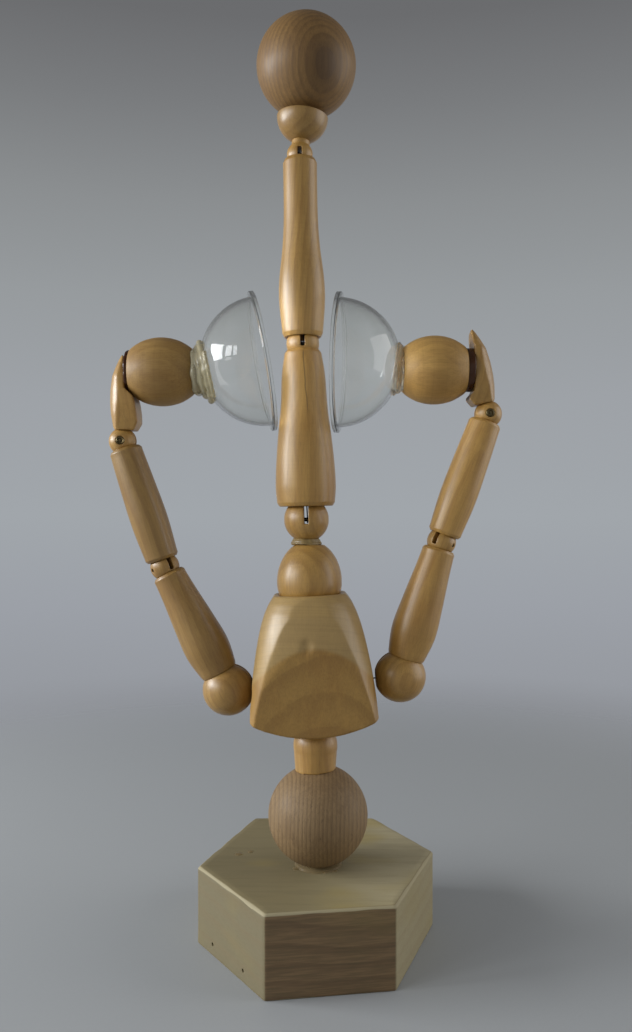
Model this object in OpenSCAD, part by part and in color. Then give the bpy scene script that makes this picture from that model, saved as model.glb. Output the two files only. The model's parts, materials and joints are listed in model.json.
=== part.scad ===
// Balance figurine: a jointed wooden lay figure standing on its head.
// It stands on a wooden ball glued to a hexagonal block and carries a second ball on its ankle.
// Each hand holds a wooden barrel with a clear half shell glued to it.
// Millimetres, +Z up, origin on the underside below the middle of the block, front towards -Y.

/* [Base block] */
// Left corner of the block
left_corner = [-44.5, -6.5]; // [-60:0.5:60]
// Left front corner
left_front_corner = [-19, -43.5]; // [-60:0.5:60]
// Right front corner
right_front_corner = [22.5, -37.5]; // [-60:0.5:60]
// Right corner
right_corner = [40, 7]; // [-60:0.5:60]
// Right back corner
right_back_corner = [20.5, 42]; // [-60:0.5:60]
// Left back corner
left_back_corner = [-28, 42]; // [-60:0.5:60]
// Height of the block
base_h = 27; // [15:0.5:45]
// Bevel along the top edges
base_bevel = 0.8; // [0.3:0.1:2]
// Radius of the two nail holes in the left front face
nail_r = 0.65; // [0.4:0.05:1]
// Depth of the nail holes
nail_deep = 7; // [3:0.5:12]
// Height of the nail holes above the underside
nail_up = 4; // [2:0.5:9]

/* [Craft balls] */
// Radius of the lower ball and of the top ball
ball_r = 17.5; // [14:0.5:22]
// Lower ball off the block's centre, to the right
ball_x = -2.2; // [-5:0.1:5]
// Lower ball off the block's centre, to the back
ball_y = -5; // [-8:0.1:5]
// Radius of the thread hole in the top ball
bead_hole_r = 2.35; // [1.5:0.05:3]
// Depth of the thread hole below the ball's surface
bead_hole_deep = 14; // [6:0.5:20]
// Lean of the thread hole from the column's line
bead_hole_lean = 2; // [-10:0.5:10]

/* [Trunk] */
// Radius of the neck piece
neck_r = 7.8; // [7:0.1:9]
// Neck centre above the top of the lower ball
neck_rise = 7; // [6:0.1:9]
// Neck off the ball's centre line
neck_shift = -0.9; // [-2:0.1:2]
// Lean of the chest, to the right
chest_lean = -2.1; // [-5:0.1:5]
// Neck centre to waist centre
chest_span = 57.4; // [54:0.1:66]
// Chest underside below which the neck shows, above the neck centre
chest_low = 5; // [4:0.1:6]
// Chest top above the neck centre
chest_top = 53.5; // [50:0.1:56]
// Half width of the chest at the shoulders
chest_half_w = 22.1; // [21.5:0.1:27]
// How much narrower the chest's half width is at the top
chest_taper = 9.6; // [5:0.1:10]
// Back of the chest off its centre, at its fullest
chest_half_d = 15.4; // [14:0.1:18]
// Front of the chest off its centre, at the crown above the breast facet
chest_crown_d = 17.6; // [15:0.1:19]
// Height of the edge where the breast facet starts, above the neck centre
facet_up = 36.6; // [30:0.1:42]
// Slope of the breast facet from the vertical
facet_slope = 10; // [3:0.5:12]
// Radius of the waist barrel
waist_r = 11.45; // [10.5:0.05:12]
// Half length that the waist barrel would have without its flat
waist_reach = 14.8; // [14:0.1:18]
// Flat top of the waist barrel above its centre
waist_flat = 13.2; // [12.5:0.1:13.8]

/* [Leg] */
// Radius of the hip ball
hip_r = 7.9; // [7:0.1:8.5]
// Flat of the hip ball below its centre
hip_flat = 6.8; // [6:0.1:6.9]
// Thickness of the glue under the hip ball
hip_glue_t = 2.1; // [0.5:0.1:3]
// Hip off the waist's centre line
hip_shift = -1.05; // [-2:0.05:2]
// Thigh's end above the hip centre
hip_gap = 4.7; // [4:0.1:6]
// Length of the thigh
thigh_l = 55; // [45:0.5:70]
// Fullest radius of the thigh
thigh_r = 10.6; // [10:0.1:11]
// Lean of the thigh, to the right
thigh_lean = -1.2; // [-3:0.1:1]
// Radius of the knee ball
knee_r = 5.8; // [5.2:0.1:6.2]
// Limb ends to the knee centre
knee_gap = 2.2; // [1.8:0.1:3.2]
// Length of the calf
calf_l = 62.7; // [50:0.5:75]
// Fullest radius of the calf
calf_r = 8.1; // [7.6:0.1:8.6]
// Lean of the calf, to the right
calf_lean = -0.9; // [-3:0.1:3]
// Radius of the ankle ball
ankle_r = 4.6; // [4.2:0.1:5]
// Calf's end to the ankle centre
ankle_gap = 1.6; // [1.2:0.1:2.5]
// Lean of the cap and the top ball, to the right
top_lean = 4.1; // [-6:0.1:6]
// Radius of the half ball under the top ball
cap_r = 9; // [8:0.1:11]
// Thickness of the glue between cap and top ball
cap_glue_t = 0.4; // [0.2:0.1:1]

/* [Arms] */
// Radius of the shoulder balls
shoulder_r = 9.1; // [8:0.1:10]
// Flat of a shoulder ball off its centre
shoulder_flat = 8.6; // [8:0.1:8.9]
// Shoulder line above the neck centre
shoulder_up = 22; // [16:0.5:28]
// Tilt of the shoulder line against the chest
shoulder_tilt = 2.3; // [0:0.1:4]
// Seat of a shoulder ball off the chest's middle
shoulder_seat = 21.35; // [20.5:0.05:21.8]
// Length of the left upper arm
left_upper_l = 39.6; // [32:0.5:48]
// Length of the right upper arm
right_upper_l = 40.5; // [32:0.5:48]
// Fullest radius of an upper arm
upper_r = 7.9; // [7.5:0.1:8.5]
// Length of the left forearm
left_fore_l = 41.2; // [34:0.5:50]
// Length of the right forearm
right_fore_l = 42.4; // [34:0.5:50]
// Fullest radius of a forearm
fore_r = 6.5; // [6.2:0.1:7.2]
// Arm's end rim to the shoulder centre
shoulder_gap = 6.5; // [6:0.1:7]
// Radius of the elbow balls
elbow_r = 5.1; // [4.8:0.1:5.3]
// Limb ends to the elbow centre
elbow_gap = 2.6; // [2.3:0.1:3.2]
// Turn of the elbow slots towards the column
elbow_turn = 37; // [0:1:60]
// Radius of the wrist balls
wrist_r = 4.83; // [4.5:0.05:5.2]
// Forearm's end to the wrist centre
wrist_gap = 2.8; // [2.4:0.1:3.2]
// Outward lean of the left upper arm
left_upper_lean = 27.5; // [20:0.1:45]
// Outward lean of the left forearm
left_fore_lean = 18.6; // [10:0.1:40]
// Outward lean of the right upper arm
right_upper_lean = 17.2; // [12:0.1:45]
// Outward lean of the right forearm
right_fore_lean = 20.1; // [10:0.1:40]

/* [Hands, barrels and shells] */
// Length of a hand from the wrist centre
hand_l = 30.7; // [26:0.1:36]
// Width of a hand
hand_w = 12.5; // [10:0.1:16]
// Lean of the left hand towards the column
left_hand_lean = 0; // [-5:0.5:15]
// Lean of the right hand towards the column
right_hand_lean = 11; // [0:0.5:15]
// Radius of the barrels
barrel_r = 12; // [11:0.1:13]
// Half length that a barrel would have without its flats
barrel_reach = 14.5; // [13:0.1:17]
// Half length of a barrel between its flats
barrel_half = 11.1; // [9:0.1:12]
// Left barrel centre from the left wrist, towards the column
left_barrel_in = 13.9; // [13:0.1:20]
// Left barrel centre above the left wrist
left_barrel_up = 24.4; // [18:0.1:27]
// Right barrel centre from the right wrist, towards the column
right_barrel_in = 19; // [16:0.1:24]
// Right barrel centre above the right wrist
right_barrel_up = 15.5; // [13:0.1:24]
// Radius of the dark glue pads in the palms
pad_r = 7.6; // [4:0.1:8]
// Thickness of the left pad
left_pad_t = 1.2; // [0.8:0.1:3]
// Thickness of the right pad
right_pad_t = 2.4; // [0.8:0.1:3]
// Outer radius of the clear shells
dome_r = 22.9; // [18:0.1:26]
// Wall of the clear shells
dome_wall = 1; // [0.6:0.1:2]
// Outer radius of the shells' lip
lip_r = 24.75; // [20:0.05:30]
// Thickness of the shells' lip
lip_t = 1.6; // [0.8:0.1:3]
// Upward tilt of the left shell
left_dome_tilt = 10.6; // [0:0.1:15]
// Upward tilt of the right shell
right_dome_tilt = 2.1; // [0:0.1:15]
// Turn of the shells, front edges towards the column
dome_turn = 6.8; // [0:0.1:12]
// Least thickness of the clear glue behind the left shell
left_dome_glue_t = 2.3; // [0.4:0.1:4]
// Least thickness of the clear glue behind the right shell
right_dome_glue_t = 0.6; // [0.4:0.1:4]
// Left shell's apex above the barrel's axis
left_dome_up = 0; // [-3:0.1:3]
// Right shell's apex above the barrel's axis
right_dome_up = 2.2; // [-3:0.1:3]
// Radius of the clear glue on the left
left_dome_glue_r = 8.3; // [6:0.1:9]
// Radius of the clear glue on the right
right_dome_glue_r = 7.75; // [6:0.1:9]

/* [Pins, slots and springs] */
// Radius of the steel cross pins
pin_r = 0.7; // [0.5:0.05:0.9]
// Width of the slots in the balls
slot_w = 1.5; // [1.3:0.05:2]
// Radius of the bores that the springs run in
bore_r = 2.3; // [2:0.05:2.5]
// Radius of the spring wire
wire_r = 0.25; // [0.2:0.01:0.28]
// Rise of a spring for each turn
spring_pitch = 5; // [3:0.5:8]
// Clearance of a ball in its seat
seat_clear = 0.25; // [0.15:0.05:0.5]
// Clearance of a pin in its hole
pin_clear = 0.02; // [0.01:0.01:0.05]

/* [Hidden] */
$fn = 48;

// Colours as the photograph shows them
maple = "#c8a06a";
pale_wood = "#d2c3a0";
pink_wood = "#bf9678";
clear_glue = "#d8d2b0";
dark_glue = "#4a2c1c";
steel = "#8c8c90";
clear_shell = [0.85, 0.9, 0.92, 0.35];

// The point that lies a distance d from p along a line leaning to the right in the front plane
function reach(p, lean, d) = p + d * [sin(lean), 0, cos(lean)];

// Centres of the joints, from the block upwards
ball_c = [ball_x, ball_y, base_h + ball_r];
neck_c = ball_c + [neck_shift, 0, ball_r + neck_rise];
waist_c = reach(neck_c, chest_lean, chest_span);
hip_c = waist_c + [hip_shift, 0, waist_flat + hip_glue_t + hip_flat];
knee_c = reach(hip_c, thigh_lean, hip_gap + thigh_l + knee_gap);
ankle_c = reach(knee_c, calf_lean, knee_gap + calf_l + ankle_gap);
// The ankle ball bites a little into the glued cap
cap_bite = 0.15;
cap_c = reach(ankle_c, top_lean, ankle_r - cap_bite + cap_r);
top_c = reach(cap_c, top_lean, cap_glue_t + ball_r);

// Arms: side is -1 on the left and 1 on the right
left = -1;
right = 1;
shoulder_mid = reach(neck_c, chest_lean, shoulder_up) + [0.4, 0, 0];
shoulder_slack = 0.3;
shoulder_half = shoulder_seat + shoulder_slack + shoulder_flat;
shoulder_line = chest_lean - shoulder_tilt;
function upper_l(side) = side == left ? left_upper_l : right_upper_l;
function fore_l(side) = side == left ? left_fore_l : right_fore_l;
function upper_lean(side) = side * (side == left ? left_upper_lean : right_upper_lean);
function fore_lean(side) = side * (side == left ? left_fore_lean : right_fore_lean);
function hand_lean(side) = -side * (side == left ? left_hand_lean : right_hand_lean);
function shoulder_c(side) = shoulder_mid
    + side * shoulder_half * [cos(shoulder_line), 0, -sin(shoulder_line)];
function elbow_c(side) = reach(shoulder_c(side), upper_lean(side), shoulder_gap + upper_l(side) + elbow_gap);
function wrist_c(side) = reach(elbow_c(side), fore_lean(side), elbow_gap + fore_l(side) + wrist_gap);
function barrel_in(side) = side == left ? left_barrel_in : right_barrel_in;
function barrel_up(side) = side == left ? left_barrel_up : right_barrel_up;
function barrel_c(side) = wrist_c(side) + [-side * barrel_in(side), 0, barrel_up(side)];
function dome_tilt(side) = side == left ? left_dome_tilt : right_dome_tilt;
function dome_glue_t(side) = side == left ? left_dome_glue_t : right_dome_glue_t;
function pad_t(side) = side == left ? left_pad_t : right_pad_t;
function dome_glue_r(side) = side == left ? left_dome_glue_r : right_dome_glue_r;
function dome_up(side) = side == left ? left_dome_up : right_dome_up;
// Way that a shell opens, and the centre of its sphere and rim
function dome_axis(side) = [-side * cos(dome_tilt(side)) * cos(dome_turn),
    cos(dome_tilt(side)) * sin(dome_turn), sin(dome_tilt(side))];
function dome_apex(side) = barrel_c(side) + [-side * (barrel_half + dome_glue_t(side)), 0, dome_up(side)];
function dome_c(side) = dome_apex(side) + dome_r * dome_axis(side);

// Slots, pins and wire eyes
eye_clear = 0.15;
eye_r = pin_r + eye_clear + wire_r;
eye_shift = wire_r + 0.08;
slot_floor = eye_r + wire_r + 0.2;
pin_short = 0.6;
recess_r = 1.6;
coil_r = bore_r - wire_r - 0.35;
eye_steps = 9;
coil_steps = 7;
lead = 1.5;
wire_sides = 5;

// Turned surfaces start away from flats and cuts
seam_turn = 33;
// Sides of the large round surfaces that other pieces fit
fine_sides = 180;

// Places children at a joint, with Z along a line that leans to the right, turned about it
module along(p, lean, turn = 0) {
    translate(p) rotate([0, lean, 0]) rotate([0, 0, turn]) children();
}

// Smooth radius through stations [height, radius]
function station(s, z, i = 0) = (i >= len(s) - 2 || z <= s[i + 1][0]) ? i : station(s, z, i + 1);
function grade(s, i) = let (a = s[max(i - 1, 0)], b = s[min(i + 1, len(s) - 1)])
    (b[1] - a[1]) / (b[0] - a[0]);
function swell(s, z) = let (i = station(s, z), a = s[i], b = s[i + 1], h = b[0] - a[0], t = (z - a[0]) / h)
    a[1] * (2 * pow(t, 3) - 3 * pow(t, 2) + 1) + b[1] * (3 * pow(t, 2) - 2 * pow(t, 3))
    + h * (grade(s, i) * (pow(t, 3) - 2 * pow(t, 2) + t) + grade(s, i + 1) * (pow(t, 3) - pow(t, 2)));

// A turned limb through stations, with rounded end corners
limb_rings = 18;
end_round = 0.6;
module turned(s) {
    z0 = s[0][0];
    z1 = s[len(s) - 1][0];
    rise = (z1 - z0 - 2 * end_round) / limb_rings;
    body = [for (k = [0 : limb_rings]) let (z = z0 + end_round + k * rise) [swell(s, z), z]];
    low_rim = [s[0][1] - end_round, z0];
    high_rim = [s[len(s) - 1][1] - end_round, z1];
    rotate_extrude(convexity = 4) polygon(concat([[0, z0], low_rim], body, [high_rim, [0, z1]]));
}

// A hollow limb: ball seats at both ends and a bore for its spring
module limb(s, low_ball, high_ball, span) {
    difference() {
        turned(s);
        sphere(r = low_ball + seat_clear);
        translate([0, 0, span]) sphere(r = high_ball + seat_clear);
        cylinder(r = bore_r, h = span);
    }
}

// Room in a ball for a wire eye: a slot along the limb's line, cut right across or only a pocket long
module slot(r, pocket = 0) {
    reach_y = pocket > 0 ? pocket : r + 1;
    translate([-slot_w / 2, -reach_y, -slot_floor]) cube([slot_w, 2 * reach_y, r + 1 + slot_floor]);
}

// Hole for a pin across a ball; it stays blind on the front side when front is false
module pin_hole(r, front = true) {
    low = front ? r + 1 : r / 2;
    rotate([0, 90, 0]) translate([0, 0, -low]) cylinder(r = pin_r + pin_clear, h = low + r + 1);
}

module pin(r, front = true) {
    low = front ? r - pin_short : r / 2 - pin_clear;
    color(steel) rotate([0, 90, 0]) translate([0, 0, -low]) cylinder(r = pin_r, h = low + r - pin_short);
}

// Wire work: a tube with a few sides swept along points, its rings carried along without twist
function unit(v) = v / norm(v);
function tangent(p, i) = unit(p[min(i + 1, len(p) - 1)] - p[max(i - 1, 0)]);
function carry(n, t) = unit(n - (n * t) * t);
function rings(p, n, i = 0) = i == len(p) ? [] : let (t = tangent(p, i), m = carry(n, t))
    concat([[for (k = [0 : wire_sides - 1]) let (a = 360 * k / wire_sides)
        p[i] + wire_r * (cos(a) * m + sin(a) * cross(t, m))]], rings(p, m, i + 1));
module wire(p, start) {
    r = rings(p, start);
    n = wire_sides;
    last = len(p) - 1;
    points = [for (ring = r, q = ring) q];
    sides = [for (i = [0 : last - 1], k = [0 : n - 1]) let (a = i * n + k, b = i * n + (k + 1) % n)
        each [[a, a + n, b + n], [a, b + n, b]]];
    caps = [for (k = [1 : n - 2]) each [[0, k, k + 1], [last * n, last * n + k + 1, last * n + k]]];
    color(steel) polyhedron(points = points, faces = concat(sides, caps), convexity = 10);
}

// An eye round a pin along X: its points run once round and leave upwards
eye_open = 35;
function eye(shift) = [for (k = [0 : eye_steps]) let (a = eye_open + k * (360 - eye_open) / eye_steps)
    [shift, eye_r * sin(a), eye_r * cos(a)]];
function turned_points(p, turn) = [for (q = p) [q.x * cos(turn) - q.y * sin(turn),
    q.x * sin(turn) + q.y * cos(turn), q.z]];
function leant_points(p, lean) = [for (q = p) [q.x * cos(lean) + q.z * sin(lean), q.y,
    q.z * cos(lean) - q.x * sin(lean)]];
function flipped(p, span) = [for (k = [len(p) - 1 : -1 : 0]) [p[k].x, p[k].y, span - p[k].z]];
// A coil from z0 to z1 whose radius swells from the middle line and back
function coil_swell(t, turns) = coil_r * min(1, 2 * t * turns, 2 * (1 - t) * turns);
function coil(z0, z1) = let (turns = max(2, floor((z1 - z0) / spring_pitch)), n = turns * coil_steps)
    [for (k = [0 : n]) let (t = k / n, a = 360 * turns * t, r = coil_swell(t, turns))
        [r * cos(a), r * sin(a), z0 + t * (z1 - z0)]];
// A spring with an eye at each end, from the joint at the origin to the joint at z = span
module limb_spring(span, low_ball, high_ball, low_turn = 0, high_turn = 0, high_bend = 0) {
    low = turned_points(eye(eye_shift), low_turn);
    high = leant_points(turned_points(flipped(eye(-eye_shift), 0), high_turn), high_bend);
    wire(concat(low, coil(low_ball + lead, span - high_ball - lead), [for (q = high) q + [0, 0, span]]),
        [cos(low_turn), sin(low_turn), 0]);
}

// The block and the lower ball
base_corners = [left_corner, left_front_corner, right_front_corner, right_corner, right_back_corner,
    left_back_corner];
// Places children at a share of the way from one corner to the next, X along the edge, Y inwards
module on_edge(from, to, share, up) {
    across = to - from;
    translate(concat(from + share * across, up)) rotate([0, 0, atan2(across.y, across.x)]) children();
}
module hex_base() {
    color(pale_wood) difference() {
        hull() {
            linear_extrude(base_h - base_bevel) polygon(base_corners);
            linear_extrude(base_h) offset(delta = -base_bevel) polygon(base_corners);
        }
        // Nail holes a quarter and seven tenths along the left front face
        for (share = [0.25, 0.71]) {
            on_edge(left_corner, left_front_corner, share, nail_up) rotate([-90, 0, 0]) translate([0, 0, -1])
                cylinder(r = nail_r, h = nail_deep + 1, $fn = 24);
        }
    }
}

base_glue_r = 8.5;
base_glue_h = 1.3;
module base_glue() {
    color(clear_glue) difference() {
        translate([ball_x, ball_y, base_h]) cylinder(r1 = base_glue_r, r2 = base_glue_r - 1, h = base_glue_h);
        translate(ball_c) sphere(r = ball_r, $fn = fine_sides);
    }
}

module lower_ball() {
    color(pink_wood) translate(ball_c) sphere(r = ball_r);
}

// Neck: a round head over a foot that is hollowed to sit on the ball
neck_foot_r = 7.1;
neck_l = neck_rise + 2;
neck_pocket = 4.2;
spring_pocket = 1.7;
module neck() {
    color(maple) difference() {
        translate(neck_c) union() {
            sphere(r = neck_r);
            translate([0, 0, -neck_l]) cylinder(r1 = neck_foot_r, r2 = neck_r - 0.1, h = neck_l);
        }
        translate(ball_c) sphere(r = ball_r);
        along(neck_c, chest_lean) {
            slot(neck_r, neck_pocket);
            pin_hole(neck_r);
        }
    }
}

module neck_pin() {
    along(neck_c, chest_lean) pin(neck_r);
}

// Chest: a front outline, a side outline and a turned surface that rounds the corners off
chest_corner = 10.5;
chest_round = 2.3;
function chest_half(w) = let (t = (w - chest_corner) / (chest_top - chest_corner))
    chest_half_w - chest_taper * (t / 4 + t * t / 2 + pow(t, 10) / 4);
chest_steps = 14;
module chest_front() {
    arc_r = (pow(chest_half_w, 2) + pow(chest_corner - chest_low, 2)) / (2 * (chest_corner - chest_low));
    half = [for (k = [0 : chest_steps]) let (w = chest_corner + k * (chest_top - chest_corner) / chest_steps)
        [chest_half(w), w]];
    intersection() {
        polygon(concat([[-chest_half_w, 0], [chest_half_w, 0]], half,
            [for (k = [chest_steps : -1 : 0]) [-half[k].x, half[k].y]]));
        translate([0, chest_low + arc_r]) circle(r = arc_r, $fn = fine_sides);
    }
}
module chest_side() {
    top_d = chest_half_d - 2.4;
    back_low = chest_half_d - 2;
    front_low = chest_crown_d - facet_up * tan(facet_slope);
    over = chest_top + 2;
    past = chest_crown_d + 1;
    polygon([[-front_low, 0], [-past, facet_up + (past - chest_crown_d) / tan(facet_slope)], [-past, over],
        [top_d, over], [chest_half_d - 0.7, facet_up + 10], [chest_half_d, facet_up - 10], [back_low, 0]]);
}
// Front above the facet, turned about an axis well behind the chest
crown_back = 40;
crown_falls = [0, 1, 4.5];
module chest_crown() {
    full = crown_back + chest_crown_d;
    over = chest_top + 2;
    ups = [facet_up, facet_up + 10, over];
    translate([0, crown_back, 0]) rotate_extrude($fn = fine_sides)
        polygon(concat([[0, -1], [full, -1]], [for (k = [0 : 2]) [full - crown_falls[k], ups[k]]],
            [[0, over]]));
}
module chest_turned() {
    over = chest_top + 0.5;
    curve = [for (k = [0 : chest_steps]) let (w = chest_corner + k * (over - chest_corner) / chest_steps)
        [chest_half(w) + chest_round * (1 - k / chest_steps / 2), w]];
    rotate([0, 0, seam_turn]) rotate_extrude($fn = 96)
        polygon(concat([[0, -1], [chest_half_w + chest_round, -1]], curve, [[0, over]]));
}
// Oval notch in the front of the chest, cut by the rim of a round-edged wheel
notch_up = 37;
notch_x = -1.6;
notch_half_l = 4.1;
notch_half_w = 2.3;
notch_deep = 0.9;
function cut_r(half) = (half * half + notch_deep * notch_deep) / (2 * notch_deep);
module chest_notch() {
    edge_r = cut_r(notch_half_w);
    wheel_r = cut_r(notch_half_l);
    translate([notch_x, notch_deep - chest_crown_d - wheel_r, notch_up]) rotate([0, 90, 0])
        rotate_extrude() translate([wheel_r - edge_r, 0]) circle(r = edge_r);
}
module chest_block() {
    color(maple) difference() {
        along(neck_c, chest_lean) difference() {
            intersection() {
                rotate([90, 0, 0]) linear_extrude(4 * chest_crown_d, center = true) chest_front();
                rotate([90, 0, 90]) linear_extrude(4 * chest_half_w, center = true) chest_side();
                chest_turned();
                chest_crown();
            }
            sphere(r = neck_r + seat_clear);
            translate([0, 0, chest_span]) sphere(r = waist_r + seat_clear);
            cylinder(r = bore_r, h = chest_span);
            chest_notch();
        }
        // Shoulder seats and the cross bore between them
        for (side = [left, right]) {
            along(shoulder_mid, shoulder_line + side * 90) {
                translate([0, 0, shoulder_seat]) cylinder(r = shoulder_r + 1, h = 5);
                cylinder(r = bore_r, h = shoulder_seat + 1);
            }
        }
    }
}

// Chest springs: one across between the shoulder pins, and one each to the neck and the waist
hook_shift = 0.35;
module shoulder_spring() {
    span = 2 * shoulder_half;
    run = 5;
    low = turned_points(eye(-eye_shift), 90);
    mid = span / 2;
    along(shoulder_c(left), shoulder_line + 90)
        wire(concat(low, coil(shoulder_flat + lead, mid - run), coil(mid + run, span - shoulder_flat - lead),
            flipped(low, span)), [0, 1, 0]);
}
// A spring from a joint to the cross wire, whose eye hooks round that wire
module hook_spring(span, r, shift) {
    low = eye(0);
    high = [for (q = flipped(eye(0), span)) q + [shift, 0, 0]];
    wire(concat(low, coil(r + lead, span - 3.5), high), [1, 0, 0]);
}
module neck_spring() {
    along(neck_c, chest_lean) hook_spring(shoulder_up, neck_r, hook_shift);
}
module waist_spring() {
    along(waist_c, chest_lean + 180) hook_spring(chest_span - shoulder_up, waist_r, hook_shift);
}

// Waist barrel: a ball below its centre, an egg-shaped swell with a flat above it
swell_steps = 12;
module waist_ball() {
    egg = [for (k = [0 : swell_steps]) let (z = waist_flat * k / swell_steps)
        [waist_r * sqrt(1 - pow(z / waist_reach, 2)), z]];
    color(maple) along(waist_c, 0) difference() {
        union() {
            sphere(r = waist_r);
            rotate_extrude() polygon(concat([[0, 0]], egg, [[0, waist_flat]]));
        }
        rotate([0, chest_lean + 180, 0]) slot(waist_r, neck_pocket);
        rotate([0, chest_lean, 0]) pin_hole(waist_r);
    }
}
module waist_pin() {
    along(waist_c, chest_lean) pin(waist_r);
}

module hip_glue() {
    color(clear_glue) translate(hip_c - [0, 0, hip_flat + hip_glue_t])
        cylinder(r1 = 5.2, r2 = 4.1, h = hip_glue_t);
}
module hip_ball() {
    color(maple) difference() {
        translate(hip_c) sphere(r = hip_r);
        translate(hip_c - [hip_r, hip_r, hip_flat + 2 * hip_r]) cube(2 * hip_r);
        along(hip_c, thigh_lean) {
            slot(hip_r);
            pin_hole(hip_r);
        }
    }
}
module hip_pin() {
    along(hip_c, thigh_lean) pin(hip_r);
}

// Leg
thigh_span = hip_gap + thigh_l + knee_gap;
thigh_shape = [[hip_gap, thigh_r - 0.6], [hip_gap + 0.13 * thigh_l, thigh_r],
    [hip_gap + 0.4 * thigh_l, thigh_r - 0.9], [hip_gap + 0.63 * thigh_l, thigh_r - 2.3],
    [hip_gap + 0.85 * thigh_l, thigh_r - 3], [hip_gap + thigh_l, knee_r + 0.45]];
calf_span = knee_gap + calf_l + ankle_gap;
calf_shape = [[knee_gap, knee_r + 1.2], [knee_gap + 0.2 * calf_l, calf_r],
    [knee_gap + 0.33 * calf_l, calf_r - 0.2], [knee_gap + 0.5 * calf_l, calf_r - 1.4],
    [knee_gap + 0.69 * calf_l, calf_r - 2.1], [knee_gap + calf_l, calf_r - 2.1]];
module thigh() {
    color(maple) along(hip_c, thigh_lean) limb(thigh_shape, hip_r, knee_r, thigh_span);
}
module thigh_spring() {
    along(hip_c, thigh_lean) limb_spring(thigh_span, hip_r, knee_r);
}
module knee_ball() {
    ball_between(knee_c, thigh_lean, calf_lean, 0, knee_r);
}
module knee_pin() {
    along(knee_c, calf_lean) pin(knee_r);
}
// The calf has a small flat bevel at the left of its knee end
calf_bevel = 3;
module calf() {
    color(maple) along(knee_c, calf_lean) difference() {
        limb(calf_shape, knee_r, ankle_r, calf_span);
        translate([-calf_shape[0][1], 0, knee_gap]) rotate([0, 40, 0])
            cube([calf_bevel, 2 * calf_r, calf_bevel], center = true);
    }
}
module calf_spring() {
    along(knee_c, calf_lean) limb_spring(calf_span, knee_r, ankle_r);
}

// A ball between two limbs: slot on the far limb's side, round room on the near limb's side
module ball_between(p, near_lean, far_lean, turn, r, front = true) {
    color(maple) difference() {
        along(p, far_lean, turn + seam_turn) sphere(r = r);
        along(p, near_lean + 180) cylinder(r = spring_pocket, h = r + 1);
        along(p, far_lean, turn) {
            slot(r);
            pin_hole(r, front);
        }
    }
}

// Ankle ball with its short stub, glued into the cap's pole
module ankle_ball() {
    color(maple) difference() {
        union() {
            translate(ankle_c) sphere(r = ankle_r);
            along(ankle_c, top_lean) cylinder(r = 3.2, h = ankle_r + 1);
        }
        translate(cap_c) sphere(r = cap_r);
        along(ankle_c, calf_lean + 180) slot(ankle_r);
        along(ankle_c, calf_lean) pin_hole(ankle_r);
    }
}
module ankle_pin() {
    along(ankle_c, calf_lean) pin(ankle_r);
}
module cap() {
    color(maple) along(cap_c, top_lean) difference() {
        sphere(r = cap_r);
        translate([-cap_r, -cap_r, 0]) cube(2 * cap_r);
    }
}
module cap_glue() {
    color(clear_glue) difference() {
        along(cap_c, top_lean) cylinder(r = 5, h = cap_glue_t + 0.7);
        translate(top_c) sphere(r = ball_r, $fn = fine_sides);
    }
}
module top_ball() {
    color(pink_wood) along(top_c, top_lean + bead_hole_lean) difference() {
        sphere(r = ball_r);
        translate([0, 0, ball_r - bead_hole_deep]) cylinder(r = bead_hole_r, h = bead_hole_deep + 1);
    }
}

// Arms, each module for either side
function upper_span(side) = shoulder_gap + upper_l(side) + elbow_gap;
function fore_span(side) = elbow_gap + fore_l(side) + wrist_gap;
function upper_shape(side) = let (l = upper_l(side)) [[shoulder_gap, upper_r - 1.5],
    [shoulder_gap + 0.24 * l, upper_r], [shoulder_gap + 0.5 * l, upper_r - 0.6],
    [shoulder_gap + 0.8 * l, upper_r - 1.7], [shoulder_gap + l, elbow_r + 0.55]];
function fore_shape(side) = let (l = fore_l(side)) [[elbow_gap, elbow_r + 0.65],
    [elbow_gap + 0.33 * l, fore_r], [elbow_gap + 0.66 * l, fore_r - 0.3], [elbow_gap + l, wrist_r + 0.8]];
// The elbow slots face the front and the column
function elbow_twist(side) = 90 + side * (90 - elbow_turn);

module shoulder_ball(side) {
    color(maple) difference() {
        translate(shoulder_c(side)) sphere(r = shoulder_r);
        along(shoulder_c(side), shoulder_line - side * 90) {
            translate([-shoulder_r, -shoulder_r, shoulder_flat]) cube(2 * shoulder_r);
            cylinder(r = spring_pocket, h = shoulder_r + 1);
        }
        along(shoulder_c(side), upper_lean(side), 90) {
            slot(shoulder_r);
            pin_hole(shoulder_r, false);
        }
    }
}
module shoulder_pin(side) {
    along(shoulder_c(side), upper_lean(side), 90) pin(shoulder_r, false);
}
module upper_arm(side) {
    color(maple) along(shoulder_c(side), upper_lean(side))
        limb(upper_shape(side), shoulder_r, elbow_r, upper_span(side));
}
module upper_arm_spring(side) {
    elbow_bend = fore_lean(side) - upper_lean(side);
    along(shoulder_c(side), upper_lean(side))
        limb_spring(upper_span(side), shoulder_r, elbow_r, 90, elbow_twist(side), elbow_bend);
}
module elbow_ball(side) {
    ball_between(elbow_c(side), upper_lean(side), fore_lean(side), elbow_twist(side), elbow_r);
}
module elbow_pin(side) {
    along(elbow_c(side), fore_lean(side), elbow_twist(side)) pin(elbow_r);
}
module forearm(side) {
    color(maple) along(elbow_c(side), fore_lean(side))
        limb(fore_shape(side), elbow_r, wrist_r, fore_span(side));
}
module forearm_spring(side) {
    along(elbow_c(side), fore_lean(side))
        limb_spring(fore_span(side), elbow_r, wrist_r, elbow_twist(side), 90);
}
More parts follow.
